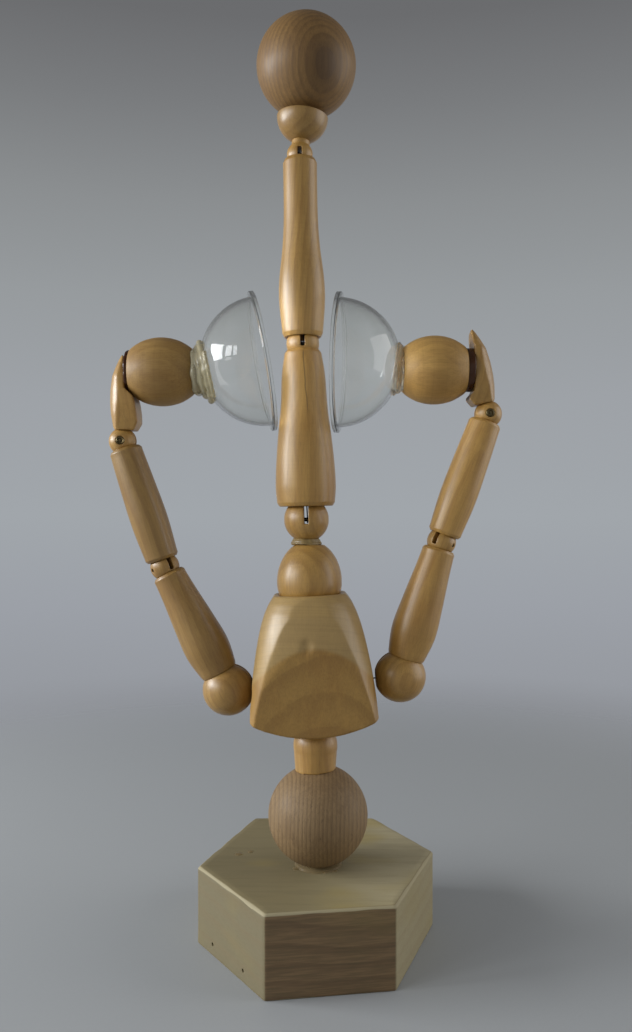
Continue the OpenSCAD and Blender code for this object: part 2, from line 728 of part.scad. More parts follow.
module wrist_ball(side) {
    color(maple) difference() {
        translate(wrist_c(side)) sphere(r = wrist_r);
        along(wrist_c(side), fore_lean(side) + 180) cylinder(r = spring_pocket, h = wrist_r + 1);
        along(wrist_c(side), hand_lean(side), 90) {
            slot(wrist_r);
            pin_hole(wrist_r);
            for (end = [-1, 1]) {
                translate([end * (wrist_r + 0.5), 0, 0]) rotate([0, 90, 0])
                    cylinder(r = recess_r, h = 2.4, center = true);
            }
        }
    }
}
module wrist_pin(side) {
    color(steel) along(wrist_c(side), hand_lean(side), 90) rotate([0, 90, 0])
        cylinder(r = pin_r, h = 2 * (wrist_r - 1), center = true);
}

// Hand: the side outline, drawn with the back towards +X, within the outline of its width and a round back
hand_seat = 3.7;
hand_axis = -3;
pad_sunk = 0.1;
function hand_z(share) = share * hand_l;
hand_backs = [[3, hand_seat], [3.4, hand_z(0.19)], [4, hand_z(0.3)], [4.25, hand_z(0.42)],
    [4.2, hand_z(0.57)], [3.6, hand_z(0.74)], [2.2, hand_z(0.86)], [1.1, hand_z(0.94)], [0, hand_l]];
module hand_outline() {
    polygon(concat(hand_backs, [[-0.9, hand_z(0.95)], [-1.3, hand_z(0.82)], [-2.7, hand_z(0.63)],
        [-4.6, hand_z(0.52)], [-5.3, hand_z(0.42)], [-5.9, hand_z(0.31)], [-6.1, hand_z(0.21)],
        [-4.7, hand_seat]]));
}
// Round back of the hand, turned about an axis in the palm
module hand_round() {
    translate([hand_axis, 0, 0]) rotate_extrude()
        polygon(concat([[0, hand_seat]], [for (p = hand_backs) [p.x - hand_axis, p.y]], [[0, hand_l]]));
}
module hand_front() {
    half = hand_w / 2;
    tip = 2.6;
    polygon([[-3.6, hand_seat - 1], [3.6, hand_seat - 1], [half - 1, hand_z(0.25)], [half, hand_z(0.42)],
        [half, hand_z(0.58)], [half - 1.1, hand_z(0.76)], [tip + 1, hand_z(0.91)], [tip - 1, hand_l + 1],
        [1 - tip, hand_l + 1], [-tip - 1, hand_z(0.91)], [1.1 - half, hand_z(0.76)], [-half, hand_z(0.58)],
        [-half, hand_z(0.42)], [1 - half, hand_z(0.25)]]);
}
hand_bore_l = 13;
module hand(side) {
    color(maple) difference() {
        along(wrist_c(side), hand_lean(side)) difference() {
            mirror([side == left ? 1 : 0, 0, 0]) intersection() {
                rotate([90, 0, 0]) linear_extrude(2 * hand_w, center = true) hand_outline();
                rotate([90, 0, 90]) linear_extrude(2 * hand_w, center = true) hand_front();
                hand_round();
            }
            sphere(r = wrist_r + seat_clear);
            cylinder(r = wire_r + 0.3, h = hand_bore_l);
        }
        barrel_body(side, pad_t(side) - pad_sunk);
    }
}
// Wire that ties the hand to the wrist pin
module hand_wire(side) {
    along(wrist_c(side), hand_lean(side), 90)
        wire(concat(eye(eye_shift), [[0, 0, wrist_r], [0, 0, hand_bore_l - 1]]), [1, 0, 0]);
}

// Barrel: an egg-shaped swell between two flats, lying along the arm's reach
module barrel_body(side, grow = 0) {
    n = 2 * swell_steps;
    egg = [for (k = [-n : 2 : n]) let (z = barrel_half * k / n)
        [(barrel_r + grow) * sqrt(1 - pow(z / barrel_reach, 2)), z * (1 + grow / barrel_half)]];
    translate(barrel_c(side)) rotate([0, 90, 0])
        rotate_extrude() polygon(concat([[0, egg[0].y]], egg, [[0, egg[len(egg) - 1].y]]));
}
module barrel(side) {
    color(maple) barrel_body(side);
}
module glue_pad(side) {
    color(dark_glue) difference() {
        translate(barrel_c(side)) rotate([0, side * 90, 0]) translate([0, 0, barrel_half])
            cylinder(r = pad_r, h = pad_t(side));
        hand(side);
    }
}
module dome_glue(side) {
    color(clear_glue) difference() {
        translate(barrel_c(side)) rotate([0, -side * 90, 0]) translate([0, 0, barrel_half])
            cylinder(r = dome_glue_r(side), h = dome_glue_t(side) + dome_r / 3);
        translate(dome_c(side)) sphere(r = dome_r, $fn = fine_sides);
    }
}
// Clear half shell with a lip, opening towards the column
module dome(side) {
    turn = atan2(dome_axis(side).y, dome_axis(side).x);
    color(clear_shell) translate(dome_c(side)) rotate([0, 90 - dome_tilt(side), turn]) difference() {
        union() {
            difference() {
                sphere(r = dome_r, $fn = 96);
                translate([-dome_r, -dome_r, 0]) cube(2 * dome_r);
            }
            translate([0, 0, -lip_t]) cylinder(r = lip_r, h = lip_t, $fn = 96);
        }
        sphere(r = dome_r - dome_wall, $fn = 96);
    }
}

hex_base();
base_glue();
lower_ball();
neck();
neck_pin();
neck_spring();
chest_block();
shoulder_spring();
waist_spring();
waist_ball();
waist_pin();
hip_glue();
hip_ball();
hip_pin();
thigh();
thigh_spring();
knee_ball();
knee_pin();
calf();
calf_spring();
ankle_ball();
ankle_pin();
cap();
cap_glue();
top_ball();
shoulder_ball(left);  // left_shoulder_ball
shoulder_pin(left);  // left_shoulder_pin
upper_arm(left);  // left_upper_arm
upper_arm_spring(left);  // left_upper_arm_spring
elbow_ball(left);  // left_elbow_ball
elbow_pin(left);  // left_elbow_pin
forearm(left);  // left_forearm
forearm_spring(left);  // left_forearm_spring
wrist_ball(left);  // left_wrist_ball
wrist_pin(left);  // left_wrist_pin
hand(left);  // left_hand
hand_wire(left);  // left_hand_wire
glue_pad(left);  // left_glue_pad
barrel(left);  // left_barrel
dome_glue(left);  // left_dome_glue
dome(left);  // left_dome
shoulder_ball(right);  // right_shoulder_ball
shoulder_pin(right);  // right_shoulder_pin
upper_arm(right);  // right_upper_arm
upper_arm_spring(right);  // right_upper_arm_spring
elbow_ball(right);  // right_elbow_ball
elbow_pin(right);  // right_elbow_pin
forearm(right);  // right_forearm
forearm_spring(right);  // right_forearm_spring
wrist_ball(right);  // right_wrist_ball
wrist_pin(right);  // right_wrist_pin
hand(right);  // right_hand
hand_wire(right);  // right_hand_wire
glue_pad(right);  // right_glue_pad
barrel(right);  // right_barrel
dome_glue(right);  // right_dome_glue
dome(right);  // right_dome
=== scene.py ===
import json
import math

import bmesh
import bpy
import numpy as np
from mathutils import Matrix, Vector, noise

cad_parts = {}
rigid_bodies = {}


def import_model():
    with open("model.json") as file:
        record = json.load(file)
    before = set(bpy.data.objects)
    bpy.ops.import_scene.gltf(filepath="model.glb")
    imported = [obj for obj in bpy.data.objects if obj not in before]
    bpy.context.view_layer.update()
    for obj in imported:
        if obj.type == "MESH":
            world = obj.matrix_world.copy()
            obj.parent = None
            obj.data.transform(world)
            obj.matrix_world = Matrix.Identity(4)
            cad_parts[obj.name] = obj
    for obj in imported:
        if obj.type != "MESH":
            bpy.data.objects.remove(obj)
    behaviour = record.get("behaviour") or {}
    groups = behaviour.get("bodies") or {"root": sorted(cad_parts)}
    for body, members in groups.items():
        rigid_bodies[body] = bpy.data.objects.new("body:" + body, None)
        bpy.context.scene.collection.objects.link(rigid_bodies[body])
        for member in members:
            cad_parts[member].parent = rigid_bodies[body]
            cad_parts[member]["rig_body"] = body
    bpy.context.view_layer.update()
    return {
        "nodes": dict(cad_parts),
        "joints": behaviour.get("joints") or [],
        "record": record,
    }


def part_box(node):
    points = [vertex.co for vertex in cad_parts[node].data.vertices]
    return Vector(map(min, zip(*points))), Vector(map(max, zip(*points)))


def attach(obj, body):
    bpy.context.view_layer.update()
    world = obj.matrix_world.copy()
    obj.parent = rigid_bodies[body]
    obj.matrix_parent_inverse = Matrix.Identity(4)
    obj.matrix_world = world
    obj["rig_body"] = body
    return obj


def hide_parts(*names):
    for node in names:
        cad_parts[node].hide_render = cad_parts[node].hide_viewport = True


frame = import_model()
scene = bpy.context.scene
nodes = frame["nodes"]
joints = {joint["name"]: joint for joint in frame["joints"]}
bodyOf = {node: nodes[node]["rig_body"] for node in nodes}
slotOf = {part["node"]: part["material_slot"] for part in frame["record"]["subparts"]}
mm = 0.001
up = Vector((0, 0, 1))
front = Vector((0, -1, 0))
right = Vector((1, 0, 0))
inward = {"left": right, "right": -right}
for spare in ("Cube", "Light", "Camera"):  # what a new Blender file holds
    if spare in bpy.data.objects:
        bpy.data.objects.remove(bpy.data.objects[spare])
print("frame loaded:", len(nodes), "nodes")


# Places and directions that the pieces share


def at(joint):
    return Vector(joints[joint]["pos_m"])


def middle(node):
    low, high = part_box(node)
    return (low + high) / 2


def cornersOf(node):
    return np.array([v.co for v in nodes[node].data.vertices], float)


def radiusOf(node):  # of a round node, from its depth
    low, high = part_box(node)
    return (high.y - low.y) / 2


def square(axis):  # two directions that make a right-handed set with the axis
    helper = front if abs(axis.dot(front)) < 0.9 else up
    side = axis.cross(helper).normalized()
    return side, axis.cross(side)


# Shader graph


def linear(*values):  # colours are written as a picture shows them, 0 to 255
    return [((v / 255 + 0.055) / 1.055) ** 2.4 if v > 10 else v / 255 / 12.92 for v in values] + [1]


def shade(colour, amount):
    return linear(*[min(255, v * amount) for v in colour])


class Sock:
    def __init__(self, graph, out):
        self.graph = graph
        self.out = out

    def math(self, operation, *terms):
        return self.graph.node("Math", {"operation": operation}, dict(enumerate(terms)))

    def __add__(self, other):
        return self.math("ADD", self, other)

    def __sub__(self, other):
        return self.math("SUBTRACT", self, other)

    def __rsub__(self, other):
        return self.math("SUBTRACT", other, self)

    def __mul__(self, other):
        return self.math("MULTIPLY", self, other)

    def __truediv__(self, other):
        return self.math("DIVIDE", self, other)

    def __pow__(self, other):
        return self.math("POWER", self, other)

    def fract(self):
        return self.math("FRACT", self)

    __radd__ = __add__
    __rmul__ = __mul__

    def between(self, low, high):  # 0 below low, 1 above high, smooth in the middle
        return self.graph.node("MapRange", {"interpolation_type": "SMOOTHSTEP"},
                               {"Value": self, "From Min": low, "From Max": high})

    def near(self, centre, width):  # 1 at the centre, 0 further off than the width
        return 1 - self.math("ABSOLUTE", self - centre).between(0.0, width)


class Graph:
    def __init__(self, owner, shader="Principled BSDF"):
        owner.use_nodes = True
        self.owner = owner
        self.tree = owner.node_tree
        self.shader = self.tree.nodes[shader]

    def node(self, kind, settings=None, links=None, out=0):
        new = self.tree.nodes.new("ShaderNode" + kind)
        for key, value in (settings or {}).items():
            if key == "stops":
                self.setStops(new.color_ramp.elements, value)
            else:
                setattr(new, key, value)
        for key, value in (links or {}).items():
            self.feed(new.inputs[key], value)
        return Sock(self, new.outputs[out])

    def feed(self, target, value):
        if isinstance(value, Sock):
            self.tree.links.new(value.out, target)
        else:
            target.default_value = value

    def setStops(self, elements, stops):  # a ramp's places, from 0 to 1, and their colours
        while len(elements) < len(stops):
            elements.new(0.5)
        for element, (place, colour) in zip(elements, stops):
            element.position = place
            element.color = linear(*colour)

    def mix(self, factor, first, second):
        return self.node("Mix", {"data_type": "RGBA"}, {0: factor, 6: first, 7: second}, 2)

    def vector(self, operation, first, second):
        return self.node("VectorMath", {"operation": operation}, {0: first, 1: second})

    def apart(self, vector):
        split = self.node("SeparateXYZ", None, {0: vector})
        return [Sock(self, out) for out in split.out.node.outputs]

    def place(self):  # where a spot lies at rest, in metres
        return self.node("TexCoord", None, None, 3)

    def inMm(self, vector):
        return self.vector("MULTIPLY", vector, (1000, 1000, 1000))

    def noise(self, place, stretch, detail=3.0, roughness=0.55):
        return self.node("TexNoise", None, {"Vector": self.vector("MULTIPLY", place, stretch),
                                            "Scale": 1.0, "Detail": detail, "Roughness": roughness})

    def bump(self, height, strength, distance):
        return self.node("Bump", None, {"Strength": strength, "Distance": distance, "Height": height})

    def finish(self, sockets):
        for name, value in sockets.items():
            self.feed(self.shader.inputs[name], value)
        return self.owner

    def blend(self, factor, other, output):  # the graph's own shader mixed with another one
        mixed = self.node("MixShader", None, {0: factor, 1: Sock(self, self.shader.outputs[0]), 2: other})
        self.tree.links.new(mixed.out, self.tree.nodes[output].inputs[0])


def materialGraph(name):
    return Graph(bpy.data.materials.new(name))


# Wood: colours from 0 to 255, ring gaps and hearts in mm

woodLooks = {
    "figure": {"light": (182, 142, 74), "dark": (132, 90, 36), "stain": (158, 113, 46),
               "ringGap": 2.6, "ringDepth": 0.3, "bend": 3.0, "pores": 0.35, "lathe": 0.06,
               "rough": 0.36, "coat": 0.5, "bump": 0.25},
    "barrel": {"light": (188, 148, 80), "dark": (134, 92, 40), "stain": (160, 116, 52),
               "ringGap": 3.2, "ringDepth": 0.2, "bend": 2.2, "pores": 0.3, "lathe": 0.1,
               "rough": 0.5, "coat": 0.12, "bump": 0.25},
    "chest": {"light": (172, 133, 66), "dark": (126, 88, 36), "stain": (152, 110, 48),
              "ringGap": 5.6, "ringDepth": 0.34, "bend": 1.4, "pores": 0.3, "lathe": 0.13,
              "rough": 0.38, "coat": 0.4, "bump": 0.25},
    "lowBall": {"light": (142, 116, 80), "dark": (76, 53, 28), "stain": (112, 86, 54),
                "ringGap": 1.4, "ringDepth": 0.36, "bend": 0.35, "pores": 0.6, "lathe": 0.0,
                "rough": 0.6, "coat": 0.05, "bump": 0.6},
    "topBall": {"light": (136, 103, 56), "dark": (68, 43, 17), "stain": (108, 76, 37),
                "ringGap": 1.9, "ringDepth": 0.34, "bend": 0.45, "pores": 0.3, "lathe": 0.0,
                "rough": 0.52, "coat": 0.16, "bump": 0.3, "core": 19.4},
}
tones = {  # how pale a piece is beside the others, which have 1
    "left_upper_arm": 0.88, "left_forearm": 0.85, "left_barrel": 0.88, "left_shoulder_ball": 0.94,
    "left_elbow_ball": 0.92, "right_upper_arm": 1.02, "right_forearm": 1.07, "right_hand": 0.97,
    "right_wrist_ball": 1.03, "thigh": 1.02, "calf": 0.97, "cap": 0.87}
woodGrain = {  # how often a pattern changes in a millimetre: two ways across the grain, then along it
    "bend": (0.06, 0.06, 0.012), "fibre": (2.2, 2.2, 0.07), "streak": (0.5, 0.5, 0.016),
    "lathe": (0.03, 0.03, 2.2), "pore": (5.5, 5.5, 0.3), "cloud": (0.07, 0.07, 0.04),
    "crack": (0.1, 0.1, 0.12), "seedStep": (37.1, 11.7, 53.3)}
# The tree's heart lies this many mm to one side of a limb or a ball, and the grain leans a little
plank = {"near": 14, "far": 26, "ballNear": 9, "ballFar": 20, "lean": 0.07}


def grainPlace(graph, point, axis):  # millimetres from the heart of the tree, Z along the grain
    place = graph.vector("SUBTRACT", graph.place(), tuple(point))
    turned = graph.node("VectorRotate", {"rotation_type": "EULER_XYZ"},
                        {"Vector": place, "Rotation": axis.rotation_difference(up).to_euler()})
    return graph.inMm(turned)


def aboveArch(graph, facet):  # 1 above an arch across the front
    x, _, z = graph.apart(graph.inMm(graph.place()))
    offset = x - facet["x"]
    return (z + offset * offset * facet["fall"]).between(facet["sawn"], facet["turned"])


def crackLine(graph, crack, wander):  # a hairline split in the front
    x, y, z = graph.apart(graph.inMm(graph.place()))
    middleX = crack["x"] + (z - crack["low"]) * crack["lean"] + (wander - 0.5) * crack["wander"]
    low, high, depth = crack["low"], crack["high"], crack["y"]
    line = (x - middleX).near(0.0, crack["width"]) * (1 - y.between(depth - 1, depth))
    return line * z.between(low, low + crack["fadeIn"]) * (1 - z.between(high - crack["fadeOut"], high))


def wood(name, look, point, axis, seed, crack=None, facet=None):
    values = dict(woodLooks[look])
    for key in ("light", "dark", "stain"):
        values[key] = [v * tones.get(name, 1.0) for v in values[key]]
    dark = values["dark"]
    graph = materialGraph(name + "Wood")
    place = grainPlace(graph, point, axis)
    drift = graph.vector("ADD", place, [seed * step for step in woodGrain["seedStep"]])

    def pattern(kind, detail=3.0, roughness=0.55):
        return graph.noise(drift, woodGrain[kind], detail, roughness)

    x, y = graph.apart(place)[:2]
    away = (x * x + y * y) ** 0.5 + pattern("bend", 2.0) * values["bend"] * 2
    ring = (away / values["ringGap"]).fract()
    late = ring.between(0.25, 0.9) * (1 - ring.between(0.92, 1.0))
    fibre = pattern("fibre", 4.0, 0.6)
    lathe = pattern("lathe", 3.0, 0.6).between(0.4, 0.7) * values["lathe"]
    pore = pattern("pore", 1.0).between(0.66, 0.75)
    cloud = pattern("cloud", 3.0, 0.6)
    colour = graph.mix(late * values["ringDepth"], linear(*values["light"]), linear(*dark))
    colour = graph.mix(cloud.between(0.4, 0.75) * 0.6, colour, linear(*values["stain"]))
    colour = graph.mix(fibre.between(0.35, 0.75) * 0.3, colour, shade(dark, 0.88))
    colour = graph.mix(pattern("streak").between(0.48, 0.75) * 0.3, colour, shade(values["light"], 1.1))
    if "core" in values:  # darker wood near the heart
        core = values["core"]
        colour = graph.mix((1 - away.between(core - 1.5, core + 2.5)) * 0.6, colour, shade(dark, 0.9))
    colour = graph.mix(pore * values["pores"], colour, shade(dark, 0.66))
    if facet:  # sawn below the arch, turned above it, and paler above it: partly the turned wood's own tone, partly painted light that leaves the downward-facing facet in painted shade
        turned = aboveArch(graph, facet)
        lathe = lathe * turned
        colour = graph.mix(turned * 0.5, colour, linear(*facet["tint"]))
    colour = graph.mix(lathe, colour, shade(dark, 0.8))
    relief = fibre * 0.5 + late * 0.25 - pore * 0.6 - lathe
    if crack:
        line = crackLine(graph, crack, pattern("crack"))
        colour = graph.mix(line * 0.7, colour, shade(dark, 0.4))
        relief = relief - line * 2
    return graph.finish({"Coat Weight": values["coat"], "Coat Roughness": 0.3, "Coat IOR": 1.45,
                         "Base Color": colour,
                         "Roughness": values["rough"] + 0.12 * fibre - 0.06 * late + 0.12 * cloud,
                         "Normal": graph.bump(relief, values["bump"], 0.00012)})


def heartBeside(point, axis, random, near, far):
    side, across = square(axis)
    angle = random.uniform(0, 2 * math.pi)
    return point + (side * math.cos(angle) + across * math.sin(angle)) * random.uniform(near, far) * mm


def limbWood(node, low, axis, seed, crack=None):
    random = np.random.default_rng(seed)
    side, across = square(axis)
    point = heartBeside(low, axis, random, plank["near"], plank["far"])
    lean = plank["lean"]
    grain = axis + side * random.uniform(-lean, lean) + across * random.uniform(-lean, lean)
    return wood(node, "figure", point, grain.normalized(), seed, crack)


# Shapes


def newPiece(name, data):
    piece = bpy.data.objects.new(name, data)
    scene.collection.objects.link(piece)
    return piece


def meshOf(name, points, faces):
    mesh = bpy.data.meshes.new(name)
    mesh.from_pydata([tuple(p) for p in points], [], faces)
    return mesh


def shadeSmooth(piece, degrees):
    mesh = piece.data
    edit = bmesh.new()
    edit.from_mesh(mesh)
    for face in edit.faces:
        face.smooth = True
    for edge in edit.edges:
        edge.smooth = edge.calc_face_angle(0) < math.radians(degrees)
    edit.to_mesh(mesh)
    edit.free()


# A piece rides on its node's body, gets its material, and stands for the node unless it is an extra
def settle(piece, node, material, degrees=40, replace=True):
    piece.data.materials.clear()
    piece.data.materials.append(material)
    shadeSmooth(piece, degrees)
    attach(piece, bodyOf[node])
    if replace:
        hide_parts(node)
    return piece


def addPiece(name, points, faces, node, material, degrees=40, replace=True):
    return settle(newPiece(name, meshOf(name, points, faces)), node, material, degrees, replace)


def bake(piece):  # modifiers become the mesh
    bpy.context.view_layer.update()
    mesh = bpy.data.meshes.new_from_object(piece.evaluated_get(bpy.context.evaluated_depsgraph_get()))
    piece.modifiers.clear()
    piece.data = mesh


# Remeshed with voxels, smoothed in some rounds, then made lumpy; voxel, lump and its size in mm
def soften(piece, voxel, rounds, lump, lumpSize, seed):
    even = piece.modifiers.new("even", "REMESH")
    even.mode = "VOXEL"
    even.voxel_size = voxel * mm
    smooth = piece.modifiers.new("smooth", "SMOOTH")
    smooth.factor = 0.5
    smooth.iterations = rounds
    bake(piece)
    if not lump:
        return
    normals = [vertex.normal.copy() for vertex in piece.data.vertices]
    for vertex, normal in zip(piece.data.vertices, normals):
        spot = vertex.co / (lumpSize * mm) + Vector((seed, 0, 0))
        vertex.co += normal * lump * mm * noise.noise(spot)


def sanded(node, material, voxel, rounds, lump=0.0, lumpSize=7.0, seed=0):  # a soft-edged copy of a CAD node
    piece = newPiece(node + "_sanded", nodes[node].data.copy())
    soften(piece, voxel, rounds, lump, lumpSize, seed)
    return settle(piece, node, material, 60)


def bridge(rows, closed=False):  # faces between rows of point numbers; a row of one is a pole
    faces = []
    for low, high in zip(rows, rows[1:] + rows[:1] if closed else rows[1:]):
        sides = max(len(low), len(high))
        for k in range(sides):
            n = (k + 1) % sides
            if len(low) == 1:
                faces.append((low[0], high[n], high[k]))
            elif len(high) == 1:
                faces.append((low[k], low[n], high[0]))
            else:
                faces.append((low[k], low[n], high[n], high[k]))
    return faces


def joined(parts):  # several lists of points and faces as one
    points, faces = [], []
    for partPoints, partFaces in parts:
        faces += [tuple(i + len(points) for i in face) for face in partFaces]
        points += partPoints
    return points, faces


# The profile holds radii and heights, as on a lathe; the wobble makes it look turned by hand
def turn(profile, centre, axis, sides=96, wobble=0.0, seed=0, closed=False):
    side, across = square(axis)
    points, rows = [], []
    for radius, height in profile:
        count = sides if radius > 1e-7 else 1
        rows.append(list(range(len(points), len(points) + count)))
        for k in range(count):
            angle = 2 * math.pi * k / count
            out = side * math.cos(angle) + across * math.sin(angle)
            swell = 0.0
            if wobble and count > 1:
                swell = wobble * noise.noise(out * 1.2 + Vector((seed * 3.1, seed, height * 55)))
            points.append(centre + axis * height + out * (radius + swell))
    return points, bridge(rows, closed)


def rounded(profile, radius, steps=5):  # rounds the corners of an open profile
    made = [profile[0]]
    for before, corner, after in zip(profile, profile[1:], profile[2:]):
        a, b, c = Vector(before), Vector(corner), Vector(after)
        first, second = a - b, c - b
        if min(first.length, second.length) < 1e-7:
            continue
        bend = math.pi - first.angle(second)
        if bend < 0.35:  # part of a smooth stretch
            made.append(corner)
            continue
        reach = min(radius * math.tan(bend / 2), first.length * 0.45, second.length * 0.45)
        start, end = b + first.normalized() * reach, b + second.normalized() * reach
        for t in np.linspace(0, 1, steps):
            p = start * (1 - t) ** 2 + b * 2 * t * (1 - t) + end * t * t
            made.append((p.x, p.y))
    return made + [profile[-1]]


def arc(radius, start, end, steps):  # part of a circle round the axis, angles in degrees
    return [(radius * math.cos(a), radius * math.sin(a)) for a in np.radians(np.linspace(start, end, steps))]


outlineStep = 0.05  # mm between the heights at which a CAD node is read


def outline(node, centre, axis):  # heights and radii of a turned CAD node, from faces that look outwards
    mesh = nodes[node].data
    widest = {}
    for face in mesh.polygons:
        away = face.center - centre
        away = away - axis * away.dot(axis)
        if face.normal.dot(away.normalized()) < 0.2:
            continue
        for index in face.vertices:
            spot = mesh.vertices[index].co - centre
            height = spot.dot(axis)
            key = round(height / mm / outlineStep)
            widest[key] = max(widest.get(key, 0.0), (spot - axis * height).length)
    keys = sorted(widest)
    return np.array([k * outlineStep * mm for k in keys]), np.array([widest[k] for k in keys])


def spline(heights, radii, places):  # smooth curve through an outline
    slope = np.gradient(radii, heights)
    made = []
    for z in places:
        i = int(np.clip(np.searchsorted(heights, z) - 1, 0, len(heights) - 2))
        gap = heights[i + 1] - heights[i]
        t = float(np.clip((z - heights[i]) / gap, 0, 1))
        made.append((radii[i] * (2 * t ** 3 - 3 * t ** 2 + 1) + radii[i + 1] * (3 * t ** 2 - 2 * t ** 3)
                     + gap * (slope[i] * (t ** 3 - 2 * t ** 2 + t) + slope[i + 1] * (t ** 3 - t ** 2)), z))
    return made


def endsOf(node, centre, axis):
    heights = (cornersOf(node) - np.array(centre)) @ np.array(axis)
    return float(heights.min()), float(heights.max())


# Limbs: turned rods, hollow, with a ball seat at each end

limbValues = {"bore": 2.3 * mm, "seatRoom": 0.25 * mm, "seatSteps": 9, "rimRound": 0.6 * mm, "rings": 44,
              "sides": 88, "handTurned": 0.08 * mm}
thighCrack = {"x": -5.7, "y": -5, "low": 183.5, "high": 208, "lean": -0.07, "width": 0.3, "wander": 1.2,
              "fadeIn": 5, "fadeOut": 2}  # in mm; y is how far back it can be seen


def seat(radius, height):  # ball seat from the bore to the rim, seen from the ball's centre
    angles = np.linspace(math.asin(limbValues["bore"] / radius), math.acos(height / radius),
                         limbValues["seatSteps"])
    return [(radius * math.sin(a), radius * math.cos(a)) for a in angles]


def limb(node, low, high, lowBall, highBall, seed, crack=None):
    lowAt, highAt = at(low), at(high)
    axis = (highAt - lowAt).normalized()
    span = (highAt - lowAt).length
    heights, radii = outline(node, lowAt, axis)
    ends = endsOf(node, lowAt, axis)
    outer = spline(heights, radii, np.linspace(heights[0], heights[-1], limbValues["rings"]))
    room = limbValues["seatRoom"]
    lowSeat = seat(radiusOf(lowBall) + room, ends[0])
    highSeat = [(r, span - h) for r, h in seat(radiusOf(highBall) + room, span - ends[1])]
    profile = lowSeat + [(outer[0][0], ends[0])] + outer[1:-1] + [(outer[-1][0], ends[1])] + highSeat[::-1]
    points, faces = turn(rounded(profile, limbValues["rimRound"]), lowAt, axis, limbValues["sides"],
                         limbValues["handTurned"], seed, closed=True)
    addPiece(node + "_turned", points, faces, node, limbWood(node, lowAt, axis, seed, crack))


limb("thigh", "hip_bend", "knee_bend", "hip_ball", "knee_ball", 3, thighCrack)
limb("calf", "knee_bend", "ankle_bend", "knee_ball", "ankle_ball", 4)
for side, seed in (("left", 10), ("right", 20)):
    limb(side + "_upper_arm", side + "_shoulder_lift", side + "_elbow_bend",
         side + "_shoulder_ball", side + "_elbow_ball", seed)
    limb(side + "_forearm", side + "_elbow_bend", side + "_wrist_bend",
         side + "_elbow_ball", side + "_wrist_ball", seed + 1)
print("limbs turned")

# The block: sawn by hand, six unequal sides, worn along its edges

blockValues = {
    "sides": 540, "rounding": 170, "crease": 35,
    "uneven": 0.12 * mm, "unevenPace": 3, "unevenTall": 9,  # bumps: depth, how close, how tall in mm
    "arris": 0.9 * mm, "wear": 0.5 * mm, "wearPace": 5, "bow": 0.12,
    "foot": [(0.35, 0.0), (0.1, 0.25)],  # inset and height in mm, where the lowest edge is rubbed
    "wallFrom": 0.8, "wallTo": 1.6, "wallRows": 9,  # in mm, above the foot and below the top
    "arrisRows": 5, "topInsets": (3, 8, 15, 25),
    "nailShares": (0.25, 0.71), "nailUp": 4 * mm, "nailRadius": 0.65 * mm, "nailDeep": 7 * mm,
    "ringGap": 5.8, "ringBend": 14, "ringTilt": 0.03,  # flat rings, their gap and bend in mm
    # worn is the pale colour of rubbed edges, and is also painted light on the top's right part and on the
    # right face
    "pale": (138, 127, 96), "olive": (124, 112, 78), "worn": (178, 167, 134), "yellow": (156, 138, 78),
    "brown": (130, 104, 72), "dark": (74, 52, 33)}
leftFace, frontFace, rightFace = 0, 1, 2  # the edges in the order of blockCorners


def blockCorners():  # the six corners of the underside, counterclockwise
    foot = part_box("hex_base")[0].z + 0.01 * mm
    found = {(round(x / mm, 2), round(y / mm, 2)) for x, y, z in cornersOf("hex_base") if z < foot}
    return sorted((Vector((x * mm, y * mm, 0)) for x, y in found), key=lambda p: math.atan2(p.y, p.x))


def edgeOf(corners, number):  # both ends of an edge and its outward side
    start, end = corners[number], corners[(number + 1) % len(corners)]
    along = (end - start).normalized()
    return start, end, Vector((along.y, -along.x, 0))


def outlineAt(corners, angle, inset):  # from the middle to the outline, whose corners are rounded
    way = Vector((math.cos(angle), math.sin(angle), 0))
    edges = [edgeOf(corners, number) for number in range(len(corners))]
    shares = [max(0.0, way.dot(out) / (start.dot(out) - inset)) for start, _, out in edges]
    power = blockValues["rounding"]
    total = sum((share / max(shares)) ** power for share in shares)
    return way / max(shares) * total ** (-1 / power)


def wallSpot(angle, inset, height):
    pace, tall = blockValues["unevenPace"], blockValues["unevenTall"]
    rough = noise.noise(Vector((math.cos(angle) * pace, math.sin(angle) * pace, height / tall)))
    return inset * mm + blockValues["uneven"] * abs(rough), height * mm


def arrisSpot(angle, share, tall):  # over the worn top edge, from the wall to the top
    pace = blockValues["wearPace"]
    rough = noise.noise(Vector((math.cos(angle) * pace, math.sin(angle) * pace, 7)))
    worn = blockValues["arris"] + blockValues["wear"] * rough
    bow = math.sin(math.pi * share) * worn * blockValues["bow"]
    return worn * share - bow, tall - worn * (1 - share) + bow * 0.5


